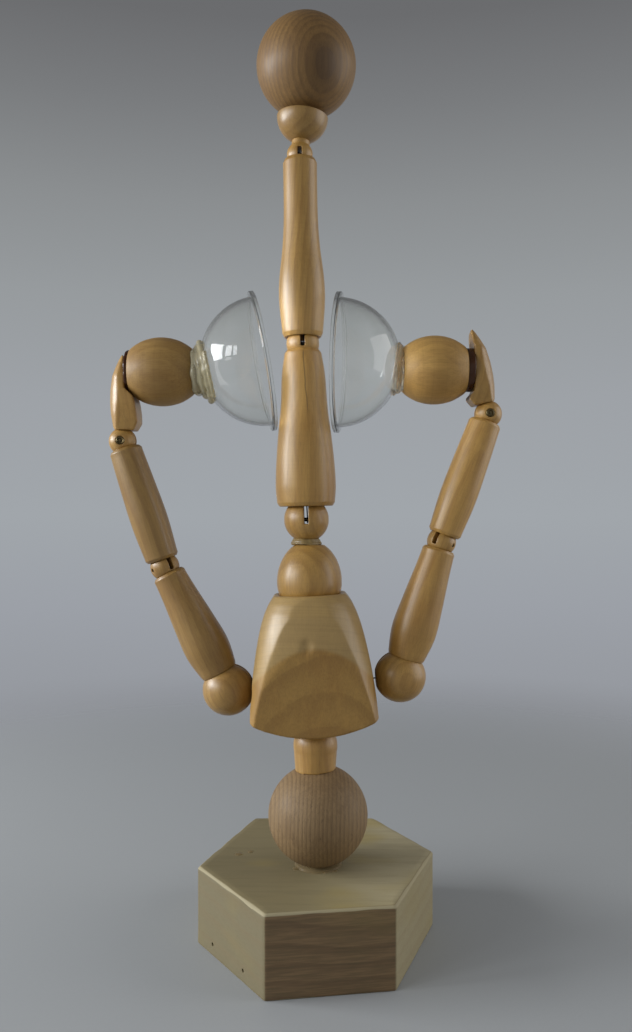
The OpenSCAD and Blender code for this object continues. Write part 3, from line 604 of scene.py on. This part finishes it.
def blockWood(corners):
    graph = materialGraph("blockWood")
    place = grainPlace(graph, middle("hex_base"), up)
    x, _, z = graph.apart(place)
    normal = graph.node("TexCoord", None, None, 1)
    slope = graph.apart(normal)[2]

    def facing(number):
        out = tuple(edgeOf(corners, number)[2])
        share = graph.node("VectorMath", {"operation": "DOT_PRODUCT"}, {0: normal, 1: out}, 1)
        return share.between(0.9, 0.97)

    def tone(name, amount=1.0):
        return shade(blockValues[name], amount)

    brownSide = facing(frontFace)
    top = slope.between(0.9, 0.98)
    bend = graph.noise(place, (0.012, 0.012, 0.04), 2.0)
    depth = z + bend * blockValues["ringBend"] + x * blockValues["ringTilt"]
    layer = (depth / blockValues["ringGap"]).fract()
    late = layer.between(0.35, 0.9) * (1 - layer.between(0.93, 1.0))
    fibre = graph.noise(place, (0.05, 0.5, 1.6), 4.0, 0.6)
    cloud = graph.noise(place, (0.03, 0.045, 0.06), 3.0, 0.55)
    speck = graph.noise(place, (0.35, 1.6, 1.6), 2.0).between(0.62, 0.74)
    patch = graph.noise(place, (0.022, 0.03, 0.05), 2.0).between(0.5, 0.66)
    edge = slope.between(0.2, 0.45) * (1 - slope.between(0.8, 0.93))
    brown = graph.mix(late * 0.35 + fibre.between(0.3, 0.7) * 0.45, tone("brown"), tone("dark"))
    colour = graph.mix(cloud.between(0.35, 0.7) * 0.55, tone("pale"), tone("olive", 1.08))
    for share, tint in (
            (top * (0.55 + 0.35 * cloud), tone("olive")),
            # painted light: the top grows paler towards +x; the worn colour here stands for light, not wear
            (top * x.between(-15, 36) * 0.85, tone("worn")),
            # painted shade: the left face is darkened
            (facing(leftFace) * 0.6, tone("pale", 0.8)),
            # painted light: the right face is lightened with the worn colour
            (facing(rightFace) * 0.4, tone("worn")),
            (brownSide * 0.94, brown),
            (late * (1 - top) * 0.14, tone("brown")),
            (fibre.between(0.42, 0.7) * (0.1 + brownSide * 0.3 + top * 0.08), tone("olive", 0.8)),
            (patch * (0.15 + top * 0.4), tone("yellow")),
            (speck * (0.06 + brownSide * 0.12), tone("brown", 0.9)),
            (edge * (0.4 + 0.5 * cloud), tone("worn"))):
        colour = graph.mix(share, colour, tint)
    relief = fibre * 0.6 + late * 0.2 + cloud * 0.3
    return graph.finish({"Base Color": colour, "Roughness": 0.62 + 0.15 * fibre,
                         "Normal": graph.bump(relief, 0.35, 0.00015)})


def drill(piece, start, way, radius, deep):  # a round hole cut into a piece
    points, faces = turn([(0, 0), (radius, 0), (radius, deep * 0.9), (0, deep)], start, way, 20)
    bit = newPiece("drill", meshOf("drill", points, faces))
    edit = bmesh.new()
    edit.from_mesh(bit.data)
    bmesh.ops.recalc_face_normals(edit, faces=edit.faces)
    edit.to_mesh(bit.data)
    edit.free()
    cut = piece.modifiers.new("drill", "BOOLEAN")
    cut.object = bit
    cut.solver = "EXACT"
    bake(piece)
    bpy.data.objects.remove(bit)


def block():
    corners = blockCorners()
    low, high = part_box("hex_base")
    centre = Vector((0, 0, low.z))
    tall = high.z - low.z
    values = blockValues
    heights = np.linspace(values["wallFrom"], tall / mm - values["wallTo"], values["wallRows"])
    wall = values["foot"] + [(0.0, height) for height in heights]
    spots = [lambda a, i=inset, h=height: wallSpot(a, i, h) for inset, height in wall]
    spots += [lambda a, s=share: arrisSpot(a, s, tall) for share in np.linspace(0, 1, values["arrisRows"])]
    spots += [lambda a, i=inset: (i * mm, tall) for inset in values["topInsets"]]
    points, rows = [centre.copy()], [[0]]
    for spot in spots:  # one row of points round the block each
        rows.append([])
        for angle in np.arange(values["sides"]) * 2 * math.pi / values["sides"]:
            inset, height = spot(angle)
            rows[-1].append(len(points))
            points.append(centre + outlineAt(corners, angle, inset) + up * height)
    rows.append([len(points)])
    points.append(centre + up * tall)
    piece = addPiece("block", points, bridge(rows), "hex_base", blockWood(corners), values["crease"])
    start, end, out = edgeOf(corners, leftFace)
    for share in values["nailShares"]:
        mouth = start + (end - start) * share + up * values["nailUp"]
        drill(piece, mouth + out * mm, -out, values["nailRadius"], values["nailDeep"] + mm)
    shadeSmooth(piece, values["crease"])


block()

# The two craft balls

ballValues = {"sides": 128, "rings": 72, "outOfRound": 0.06 * mm,
              "holeRadius": 2.35 * mm, "holeDeep": 14 * mm, "holeRound": 0.35 * mm, "holeLean": 6.1,
              "lowHeart": (-80, -9, 0), "lowGrain": (0.02, 0.03, 1),
              "topHeart": (13.5, -29.5, -13.6), "topGrain": (0.03, -0.42, 1)}
lowBallAt = middle("lower_ball")
topBallAt = middle("top_ball")
topBallAt.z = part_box("top_ball")[0].z + radiusOf("top_ball")


def lowerBall():
    points, faces = turn(arc(radiusOf("lower_ball"), -90, 90, ballValues["rings"]), lowBallAt, up,
                         ballValues["sides"], ballValues["outOfRound"], 1)
    heart = lowBallAt + Vector(ballValues["lowHeart"]) * mm
    addPiece("lowerBall", points, faces, "lower_ball",
             wood("lowerBall", "lowBall", heart, Vector(ballValues["lowGrain"]), 1))


def topBall():  # with its thread hole
    radius = radiusOf("top_ball")
    lean = math.radians(ballValues["holeLean"])
    holeAxis = Vector((math.sin(lean), 0, math.cos(lean)))
    hole = ballValues["holeRadius"]
    mouth = math.degrees(math.acos(hole / radius))
    bottom = radius - ballValues["holeDeep"]
    profile = arc(radius, -90, mouth, ballValues["rings"]) + [(hole, bottom), (0.0, bottom)]
    points, faces = turn(rounded(profile, ballValues["holeRound"]), topBallAt, holeAxis, ballValues["sides"],
                         ballValues["outOfRound"], 2)
    heart = topBallAt + Vector(ballValues["topHeart"]) * mm
    addPiece("topBall", points, faces, "top_ball",
             wood("topBall", "topBall", heart, Vector(ballValues["topGrain"]).normalized(), 2))


lowerBall()
topBall()
print("block and balls made")

# Trunk, joint balls and hands: carved or turned pieces with sanded edges

sandedValues = {  # voxel in mm, smoothing rounds
    "neck": (0.3, 4), "chest_block": (0.45, 11), "waist_ball": (0.3, 4), "hip_ball": (0.25, 4),
    "knee_ball": (0.2, 3), "ankle_ball": (0.18, 3), "shoulder_ball": (0.28, 3), "elbow_ball": (0.2, 3),
    "wrist_ball": (0.18, 3), "hand": (0.28, 26)}
# the facet's tint paints the chest above the arch paler: partly the turned wood's tone, partly painted light
# against the shade on the facet below
chestGrain = {"heart": (4, 24, -12), "lean": (0.03, 0.3, 1),
              "facet": {"x": -3.0, "sawn": 104.2, "turned": 106.2, "fall": 0.028, "tint": (182, 158, 108)}}


def carved(node, kind, axis, seed):
    point = heartBeside(middle(node), axis, np.random.default_rng(seed), plank["ballNear"], plank["ballFar"])
    sanded(node, wood(node, "figure", point, axis, seed), *sandedValues[kind])


def lineFrom(joint, other):
    return (at(other) - at(joint)).normalized()


spine = lineFrom("neck_tilt", "waist_tilt")
thighLine = lineFrom("hip_bend", "knee_bend")
carved("neck", "neck", spine, 31)
carved("waist_ball", "waist_ball", spine, 32)
carved("hip_ball", "hip_ball", thighLine, 33)
carved("knee_ball", "knee_ball", thighLine, 34)
carved("ankle_ball", "ankle_ball", lineFrom("knee_bend", "ankle_bend"), 35)
sanded("chest_block", wood("chest", "chest", middle("chest_block") + Vector(chestGrain["heart"]) * mm,
                           Vector(chestGrain["lean"]).normalized(), 36, facet=chestGrain["facet"]),
       *sandedValues["chest_block"])
for side, seed in (("left", 40), ("right", 50)):
    armLine = lineFrom(side + "_shoulder_lift", side + "_elbow_bend")
    foreLine = lineFrom(side + "_elbow_bend", side + "_wrist_bend")
    carved(side + "_shoulder_ball", "shoulder_ball", armLine, seed)
    carved(side + "_elbow_ball", "elbow_ball", foreLine, seed + 1)
    carved(side + "_wrist_ball", "wrist_ball", foreLine, seed + 2)
    carved(side + "_hand", "hand", (foreLine + up).normalized(), seed + 3)
print("trunk and joint balls sanded")

# Cap and barrels: solid turned pieces

rodValues = {
    "cap": {"corner": 0.5 * mm, "rings": 30, "sides": 72, "handTurned": 0.0, "heart": (9, 8, 0)},
    "barrel": {"corner": 0.7 * mm, "rings": 30, "sides": 88, "handTurned": 0.08 * mm, "heart": (0, 13, 12)}}


def turnedOn(node, hint):  # middle and axis of a turned CAD node, from how its surface is spread
    faces = nodes[node].data.polygons
    areas = np.array([face.area for face in faces])
    centres = np.array([face.center for face in faces])
    heart = (centres * areas[:, None]).sum(0) / areas.sum()
    sizes, ways = np.linalg.eigh(((centres - heart) * areas[:, None]).T @ (centres - heart))
    axis = Vector(ways[:, 0] if sizes[1] - sizes[0] > sizes[2] - sizes[1] else ways[:, 2])
    return Vector(heart), axis if axis.dot(hint) > 0 else -axis


def rod(node, kind, look, centre, axis, seed):
    values = rodValues[kind]
    heights, radii = outline(node, centre, axis)
    ends = endsOf(node, centre, axis)
    outer = spline(heights, radii, np.linspace(heights[0], heights[-1], values["rings"]))
    profile = rounded([(0.0, ends[0])] + outer + [(0.0, ends[1])], values["corner"])
    points, faces = turn(profile, centre, axis, values["sides"], values["handTurned"])
    heart = centre + Vector(values["heart"]) * mm
    addPiece(node + "_turned", points, faces, node, wood(node, look, heart, axis, seed))


capAt, capAxis = turnedOn("cap", (topBallAt - at("ankle_bend")).normalized())
rod("cap", "cap", "figure", capAt, capAxis, 60)
barrelAt = {side: turnedOn(side + "_barrel", inward[side]) for side in inward}
for side, seed in (("left", 61), ("right", 62)):
    rod(side + "_barrel", "barrel", "barrel", *barrelAt[side], seed)
print("cap and barrels turned")

# Glue: set in drops, strings and beads

glueLooks = {
    "clear": {"tint": (240, 238, 228), "rough": 0.05, "through": 0.88, "cloudy": 0.2, "ior": 1.45},
    "wet": {"tint": (196, 176, 142), "rough": 0.2, "through": 0.85, "cloudy": 0.25, "ior": 1.12},
    "amber": {"tint": (232, 222, 186), "rough": 0.14, "through": 0.55, "cloudy": 0.3, "ior": 1.45},
    "yellow": {"tint": (182, 156, 104), "rough": 0.25, "through": 0.4, "cloudy": 0.6, "ior": 1.45},
    "dark": {"tint": (74, 42, 20), "rough": 0.16, "through": 0.0, "cloudy": 0.5, "ior": 1.4},
}


def glue(name, look):
    values = glueLooks[look]
    graph = materialGraph(name)
    place = graph.inMm(graph.place())
    cloud = graph.noise(place, (0.4, 0.4, 0.4), 3.0)
    ripple = graph.noise(place, (0.9, 0.9, 0.9), 2.0)
    colour = graph.mix(cloud.between(0.35, 0.75) * values["cloudy"], linear(*values["tint"]),
                       shade(values["tint"], 0.72))
    return graph.finish({"Transmission Weight": values["through"], "IOR": values["ior"], "Base Color": colour,
                         "Roughness": values["rough"] + 0.2 * cloud,
                         "Normal": graph.bump(ripple, 0.35, 0.0002)})


def tube(path, radii, sides=14):  # a bead along a path, its ends closed
    points, rows = [], []
    for k, (spot, radius) in enumerate(zip(path, radii)):
        ahead = path[min(k + 1, len(path) - 1)] - path[max(k - 1, 0)]
        side, across = square(ahead.normalized())
        rows.append(list(range(len(points), len(points) + sides)))
        points += [spot + (side * math.cos(a) + across * math.sin(a)) * radius
                   for a in np.linspace(0, 2 * math.pi, sides, endpoint=False)]
    return points, bridge(rows) + [tuple(rows[0][::-1]), tuple(rows[-1])]


# The parts flow into one another; a shell is a centre and a radius that the glue stays out of
def melted(name, node, parts, material, melt, seed, shell=None):
    piece = newPiece(name, meshOf(name, *joined(parts)))
    soften(piece, *melt, seed)
    if shell:
        centre, radius = shell
        for vertex in piece.data.vertices:
            away = vertex.co - centre
            if away.length < radius:
                vertex.co = centre + away.normalized() * radius
    return settle(piece, node, material, 70)


# Clear half shells with a lip, glued to the barrels

shellValues = {"radius": 22.9 * mm, "wall": 1.0 * mm, "lipRadius": 24.75 * mm, "lip": 1.6 * mm,
               "round": 0.25 * mm, "rebate": 0.45 * mm, "rebateDeep": 0.9 * mm, "sides": 144, "rings": 40,
               "clear": (248, 249, 247), "smeared": (238, 239, 236), "edgeways": (140, 143, 136)}


def shellPlastic():
    graph = materialGraph("clearAcrylic")
    place = graph.inMm(graph.place())
    smear = graph.noise(place, (0.12, 0.12, 0.12), 3.0).between(0.5, 0.8)
    scratch = graph.noise(place, (0.25, 3.0, 3.0), 2.0).between(0.68, 0.74)
    slanting = graph.node("LayerWeight", None, {"Blend": 0.5}, 1).between(0.6, 0.97)
    clear = graph.mix(smear * 0.4, linear(*shellValues["clear"]), linear(*shellValues["smeared"]))
    return graph.finish({"Transmission Weight": 0.97, "IOR": 1.43,
                         "Base Color": graph.mix(slanting * 0.8, clear, linear(*shellValues["edgeways"])),
                         "Roughness": 0.015 + 0.06 * smear + 0.1 * scratch})


acrylic = shellPlastic()
shellAt = {}


def shell(side):
    node = side + "_dome"
    heart, axis = turnedOn(node, inward[side])
    radius, lip, lipRadius = shellValues["radius"], shellValues["lip"], shellValues["lipRadius"]
    centre = heart + axis * (endsOf(node, heart, axis)[0] + radius)
    shellAt[side] = centre
    edge = math.degrees(math.asin(lip / radius))
    inner = radius - shellValues["wall"]
    rebate, deep = inner + shellValues["rebate"], shellValues["rebateDeep"]
    outer = arc(radius, -90, -edge, shellValues["rings"])
    rim = [(lipRadius, -lip), (lipRadius, 0.0), (rebate, 0.0), (rebate, -deep)]
    inside = arc(inner, -math.degrees(math.asin(deep / inner)), -90, shellValues["rings"])
    points, faces = turn(rounded(outer + rim + inside, shellValues["round"], 4), centre, axis,
                         shellValues["sides"])
    addPiece(side + "Shell", points, faces, node, acrylic, 30).visible_shadow = False


shell("left")
shell("right")

collarValues = {  # each bead, in mm: way from the barrel's flat, ring radius, thickness; then in degrees:
    # its slant, and its first and last angle from the front
    "left": {"look": "amber", "core": 7.4, "beads": [
        (1.1, 7.1, 1.5, 3, -180, 180), (3.4, 8.0, 1.4, 8, -180, 180), (5.2, 9.6, 1.1, 10, -100, 80),
        (6.4, 10.9, 0.7, 10, -60, 30)]},
    "right": {"look": "clear", "core": 6.6, "beads": [
        (0.6, 6.9, 0.8, 0, -180, 180), (2.2, 7.4, 0.95, -3, -180, 180), (4.0, 8.2, 0.6, -4, -180, 180),
        (2.4, 7.7, 0.9, 0, 50, 130)]},
    "coreFrom": -0.2 * mm, "coreRim": 2.6 * mm, "coreTop": 3.6 * mm, "clearance": 0.03 * mm,
    "steps": 60, "wave": 0.15, "wavePace": 0.7,  # a bead's thickness comes and goes along it
    "melt": (0.2, 11, 0.12, 2.5)}  # voxel, rounds, lump and its size, as soften takes them


def glueCollar(side):
    values = collarValues[side]
    centre, axis = barrelAt[side]
    flat = centre + axis * endsOf(side + "_barrel", centre, axis)[1]
    shellCentre = shellAt[side]
    radius = shellValues["radius"] + collarValues["clearance"]
    core = values["core"] * mm
    parts = [turn([(0, collarValues["coreFrom"]), (core, 0), (core, collarValues["coreRim"]),
                   (0, collarValues["coreTop"])], flat, axis, 64)]
    for away, ring, thick, slant, first, last in values["beads"]:
        path = []
        for angle in np.radians(np.linspace(first, last, collarValues["steps"])):
            rise = away * mm - math.sin(angle) * ring * mm * math.tan(math.radians(slant))
            spot = flat + axis * rise + (front * math.cos(angle) + up * math.sin(angle)) * ring * mm
            off = spot - shellCentre
            if off.length < radius + 0.5 * thick * mm:
                spot = shellCentre + off.normalized() * (radius + 0.5 * thick * mm)
            path.append(spot)
        waves = [math.sin(k * collarValues["wavePace"] + away) for k in range(len(path))]
        radii = [thick * mm * (1 + collarValues["wave"] * wave) for wave in waves]
        parts.append(tube(path, radii))
    melted(side + "GlueCollar", side + "_dome_glue", parts, glue(side + "CollarGlue", values["look"]),
           collarValues["melt"], len(side), (shellCentre, radius))


glueCollar("left")
glueCollar("right")
print("shells and their glue made")

# The other glue

footGlueValues = {"swell": 0.5 * mm, "width": 4 * mm, "sunk": 0.05 * mm, "shoulder": 0.6 * mm,
                  "shoulderAt": 0.6, "slope": 1.8 * mm, "round": 0.5 * mm,
                  "drops": [  # x, y, radius and height in mm
                      (-10.0, -9.3, 1.2, 0.4), (3.5, -11.0, 1.0, 0.3), (-31.0, 4.1, 1.5, 0.3),
                      (-26.8, 6.3, 1.1, 0.25)],
                  "dropSunk": 0.03 * mm, "dropSwell": 0.25 * mm, "dropArc": (0.3, 1.57, 6)}
hipGlueValues = {"beads": ((-0.28, 0.92), (0.05, 0.84), (0.33, 0.78)), "bead": 0.42 * mm,
                 "footWide": 0.95, "topWide": 0.75,  # shares of the CAD glue's height and width
                 "melt": (0.16, 2, 0.5, 2.5)}
capGlueValues = {"bead": 0.42 * mm, "ring": 0.93, "lean": 4.1, "drop": 0.75 * mm, "dropAt": (-0.6, -0.75, 0),
                 "dropOut": 1.02, "melt": (0.12, 2, 0.12, 2.5)}
padValues = {"voxel": 0.22, "rounds": 12, "lump": 0.2, "lumpSize": 3.0}


def ringPath(spotAt, steps=50):  # once round
    return [spotAt(math.cos(a), math.sin(a)) for a in np.linspace(-math.pi, math.pi, steps)]


def footGlue():
    values = footGlueValues
    low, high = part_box("base_glue")
    centre = Vector((lowBallAt.x, lowBallAt.y, low.z))
    outer, tall = radiusOf("base_glue"), high.z - low.z
    inner = outer - values["width"]
    profile = [(inner, -values["sunk"]), (outer, -values["sunk"]),
               (outer - values["shoulder"], tall * values["shoulderAt"]), (outer - values["slope"], tall),
               (inner, tall)]
    parts = [turn(rounded(profile, values["round"]), centre, up, 96, values["swell"], 5, closed=True)]
    for x, y, radius, height in values["drops"]:
        spot = Vector((x * mm, y * mm, low.z - values["dropSunk"]))
        dome = [(radius * mm * math.cos(a), height * mm * math.sin(a))
                for a in np.linspace(*values["dropArc"])]
        parts.append(turn([(0, 0), (radius * mm, 0)] + dome + [(0, height * mm)], spot, up, 24,
                          values["dropSwell"], int(abs(x * 10))))
    points, faces = joined(parts)
    addPiece("footGlue", points, faces, "base_glue", glue("footClear", "wet"), 60).visible_shadow = False


def hipGlue():
    values = hipGlueValues
    centre = middle("hip_glue")
    low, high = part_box("hip_glue")
    wide, tall = (high.x - low.x) / 2, high.z - low.z
    foot, top = wide * values["footWide"], wide * values["topWide"]
    parts = [turn([(0, -tall / 2), (foot, -tall / 2), (top, tall / 2), (0, tall / 2)], centre, up, 48)]
    for level, share in values["beads"]:
        path = ringPath(lambda c, s: centre + up * (level * tall) + (front * c + right * s) * wide * share)
        parts.append(tube(path, [values["bead"]] * len(path)))
    melted("hipGlue", "hip_glue", parts, glue("hipYellow", "yellow"), values["melt"], 4)


def capGlue():
    values = capGlueValues
    centre, radius = middle("cap_glue"), radiusOf("cap_glue")
    fall = math.tan(math.radians(values["lean"]))
    path = ringPath(lambda c, s: centre + Vector((c, s, -fall * c)) * radius * values["ring"])
    drop = centre + Vector(values["dropAt"]) * radius * values["dropOut"]
    parts = [tube(path, [values["bead"]] * len(path)), turn(arc(values["drop"], -90, 90, 9), drop, up, 16)]
    melted("capGlue", "cap_glue", parts, glue("capClear", "clear"), values["melt"], 6)


footGlue()
hipGlue()
capGlue()
darkGlue = glue("darkGlue", "dark")
for side in ("left", "right"):
    sanded(side + "_glue_pad", darkGlue, **padValues, seed=len(side))
print("glue set")

# Steel pins, springs and wires keep their CAD shapes

steelLooks = {"pinSteel": ((120, 116, 108), 0.3), "wireSteel": ((112, 103, 88), 0.42),
              "eyeletSteel": ((112, 99, 70), 0.24)}  # tone and roughness


def steel(name):
    tone, rough = steelLooks[name]
    graph = materialGraph(name)
    place = graph.inMm(graph.place())
    drawn = graph.noise(place, (2.5, 2.5, 2.5), 3.0)
    stain = graph.noise(place, (0.5, 0.5, 0.5), 2.0).between(0.5, 0.75)
    colour = graph.mix(stain * 0.5, linear(*tone), shade(tone, 0.6))
    return graph.finish({"Metallic": 1.0, "Base Color": colour, "Roughness": rough + 0.2 * drawn,
                         "Normal": graph.bump(drawn, 0.2, 0.00005)})


pinSteel = steel("pinSteel")
wireSteel = steel("wireSteel")
for name, piece in nodes.items():
    if slotOf[name] == "steel":
        piece.data.materials.clear()
        piece.data.materials.append(pinSteel if name.endswith("_pin") else wireSteel)

# Dark eyelets round the ends of the wrist pins

eyeletValues = {"out": 0.6 * mm, "sides": 32,
                "profile": [  # radii and heights in mm, from the middle outwards
                    (0.0, 0.35), (0.42, 0.35), (0.48, -0.35), (0.8, -0.4), (0.92, 0.1), (1.25, 0.2),
                    (1.5, -0.05), (1.52, -0.6), (0.0, -0.6)]}
eyeletSteel = steel("eyeletSteel")


def eyelets(side):
    pin = side + "_wrist_pin"
    low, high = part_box(pin)
    profile = [(r * mm, h * mm) for r, h in eyeletValues["profile"]][::-1]
    parts = []
    for axis, end in ((front, low.y), (-front, high.y)):
        place = Vector(((low.x + high.x) / 2, end, (low.z + high.z) / 2)) + axis * eyeletValues["out"]
        parts.append(turn(profile, place, axis, eyeletValues["sides"]))
    points, faces = joined(parts)
    addPiece(side + "Eyelets", points, faces, pin, eyeletSteel, 40, replace=False)


eyelets("left")
eyelets("right")

# Torn wood fibres at the waist seam

burrValues = {"at": (-1.2, -12.3, 123.9), "spread": (1.4, 0.2), "fibres": 9, "long": 2.6 * mm,
              "shortest": 0.5, "thick": 0.09 * mm, "curl": 0.35,
              "way": ((-0.9, 0.6), (-0.9, -0.5), (0.2, 1.0)),  # where a fibre points, in x, y and z
              "bend": ((-1, 1), (-1, 0), (-0.6, 0.6))}  # where its end curls to


def burr():
    random = np.random.default_rng(7)
    heart = Vector(burrValues["at"]) * mm
    wide, deep = burrValues["spread"]
    parts = []

    def within(ranges):
        return Vector([random.uniform(low, high) for low, high in ranges])

    for _ in range(burrValues["fibres"]):
        root = heart + Vector((random.uniform(-wide, wide), random.uniform(-deep, deep), 0)) * mm
        way = within(burrValues["way"]).normalized()
        curl = within(burrValues["bend"])
        long = burrValues["long"] * random.uniform(burrValues["shortest"], 1)
        path = [root + way * long * t + curl * long * burrValues["curl"] * t * t
                for t in np.linspace(-0.15, 1, 7)]
        parts.append(tube(path, [burrValues["thick"] * (1.1 - t) for t in np.linspace(0, 1, 7)], 5))
    points, faces = joined(parts)
    addPiece("waistBurr", points, faces, "chest_block",
             wood("burr", "chest", heart, Vector((1, 0, 0.3)), 8), 60, replace=False)


burr()

# Camera, light and stage

viewValues = {"eye": (-2.9, -309.6, 149.7), "lens": 30.14, "sensor": 36}
camera = newPiece("camera", bpy.data.cameras.new("camera"))
camera.location = Vector(viewValues["eye"]) * mm
camera.rotation_euler = (math.pi / 2, 0, 0)
camera.data.lens = viewValues["lens"]
camera.data.sensor_width = viewValues["sensor"]
camera.data.clip_start = 0.01
scene.camera = camera

lightValues = {"distance": 0.88, "level": 42, "target": (0, 0, 0.18), "windowTint": (0.96, 0.98, 1.0),
               "fillAt": (0.8, 0.0, 0.34), "fillTarget": (0, 0, 0.16), "fillSize": 0.7, "fill": 3.0,
               "fillTint": (1.0, 0.98, 0.95), "sky": 0.24, "skyTint": (0.93, 0.96, 1.0, 1),
               "panes": [  # azimuth to the left of the front, its spread, elevation, its spread, strength
                   (88, 30, 12, 19, 1.25), (61, 11, 12, 14, 0.9), (48, 6, 12, 14, 0.7), (61, 11, 1, 4, 0.3)]}


def panel(name, place, wide, high, power, target, tint):
    light = bpy.data.lights.new(name, "AREA")
    light.shape = "RECTANGLE"
    light.size, light.size_y = wide, high
    light.energy = power
    light.color = tint
    lamp = newPiece(name, light)
    lamp.location = place
    lamp.rotation_euler = (Vector(target) - Vector(place)).to_track_quat("-Z", "Y").to_euler()
    lamp.visible_transmission = False


def window():  # a large pane far to the left, narrower ones nearer the front
    target = Vector(lightValues["target"])
    far = lightValues["distance"]
    for azimuth, wide, rise, high, strength in lightValues["panes"]:
        a, e = math.radians(azimuth), math.radians(rise)
        way = Vector((-math.sin(a) * math.cos(e), -math.cos(a) * math.cos(e), math.sin(e)))
        wide, high = far * math.radians(wide), far * math.radians(high)
        power = lightValues["level"] * wide * high * strength
        panel("pane", target + way * far, wide, high, power, target, lightValues["windowTint"])


window()
panel("fill", lightValues["fillAt"], lightValues["fillSize"], lightValues["fillSize"], lightValues["fill"],
      lightValues["fillTarget"], lightValues["fillTint"])

skyStops = [  # from straight down, -1, over level, 0, to straight up, 1
    (-1.0, (118, 121, 123)), (-0.36, (128, 131, 133)), (-0.24, (146, 149, 155)), (-0.1, (156, 160, 167)),
    (0.0, (161, 166, 171)), (0.13, (158, 162, 167)), (0.24, (151, 155, 158)), (0.34, (139, 142, 144)),
    (0.43, (121, 123, 125)), (0.5, (107, 108, 110)), (1.0, (88, 90, 92))]


def sky():  # an even light, and behind it a graded backdrop that the camera and the gloss see
    scene.world = bpy.data.worlds.new("studio")
    graph = Graph(scene.world, "Background")
    graph.finish({"Color": lightValues["skyTint"], "Strength": lightValues["sky"]})
    level = graph.apart(graph.node("TexCoord"))[2]
    rise = graph.node("MapRange", None, {"Value": level, "From Min": -1})
    stops = [((height + 1) / 2, colour) for height, colour in skyStops]
    backdrop = graph.node("ValToRGB", {"stops": stops}, {0: rise})
    rays = graph.node("LightPath").out.node.outputs
    seen, through, gloss = [Sock(graph, rays[name])
                            for name in ("Is Camera Ray", "Is Transmission Ray", "Is Glossy Ray")]
    graph.blend(seen + through + gloss, graph.node("Background", None, {"Color": backdrop}),
                "World Output")


sky()

floorValues = {"half": 1.2, "tone": (166, 169, 171), "fadeFrom": 0.2, "fadeTo": 0.55}


def floor():  # plain, and gone further out, where the backdrop goes on
    half = floorValues["half"]
    corners = [(-half, -half, 0), (half, -half, 0), (half, half, 0), (-half, half, 0)]
    stage = newPiece("floor", meshOf("floor", corners, [(0, 1, 2, 3)]))
    graph = materialGraph("floorPaint")
    place = graph.place()
    away = graph.node("VectorMath", {"operation": "LENGTH"}, {0: place}, 1)
    grain = graph.noise(place, (900, 900, 900), 2.0)
    tone = floorValues["tone"]
    paint = graph.finish({"Specular IOR Level": 0.3, "Roughness": 0.55 + 0.1 * grain,
                          "Base Color": graph.mix(grain * 0.3, linear(*tone), shade(tone, 0.96))})
    graph.blend(away.between(floorValues["fadeFrom"], floorValues["fadeTo"]), graph.node("BsdfTransparent"),
                "Material Output")
    stage.data.materials.append(paint)


floor()
scene.view_settings.view_transform = "Standard"
print("camera, light and floor set")
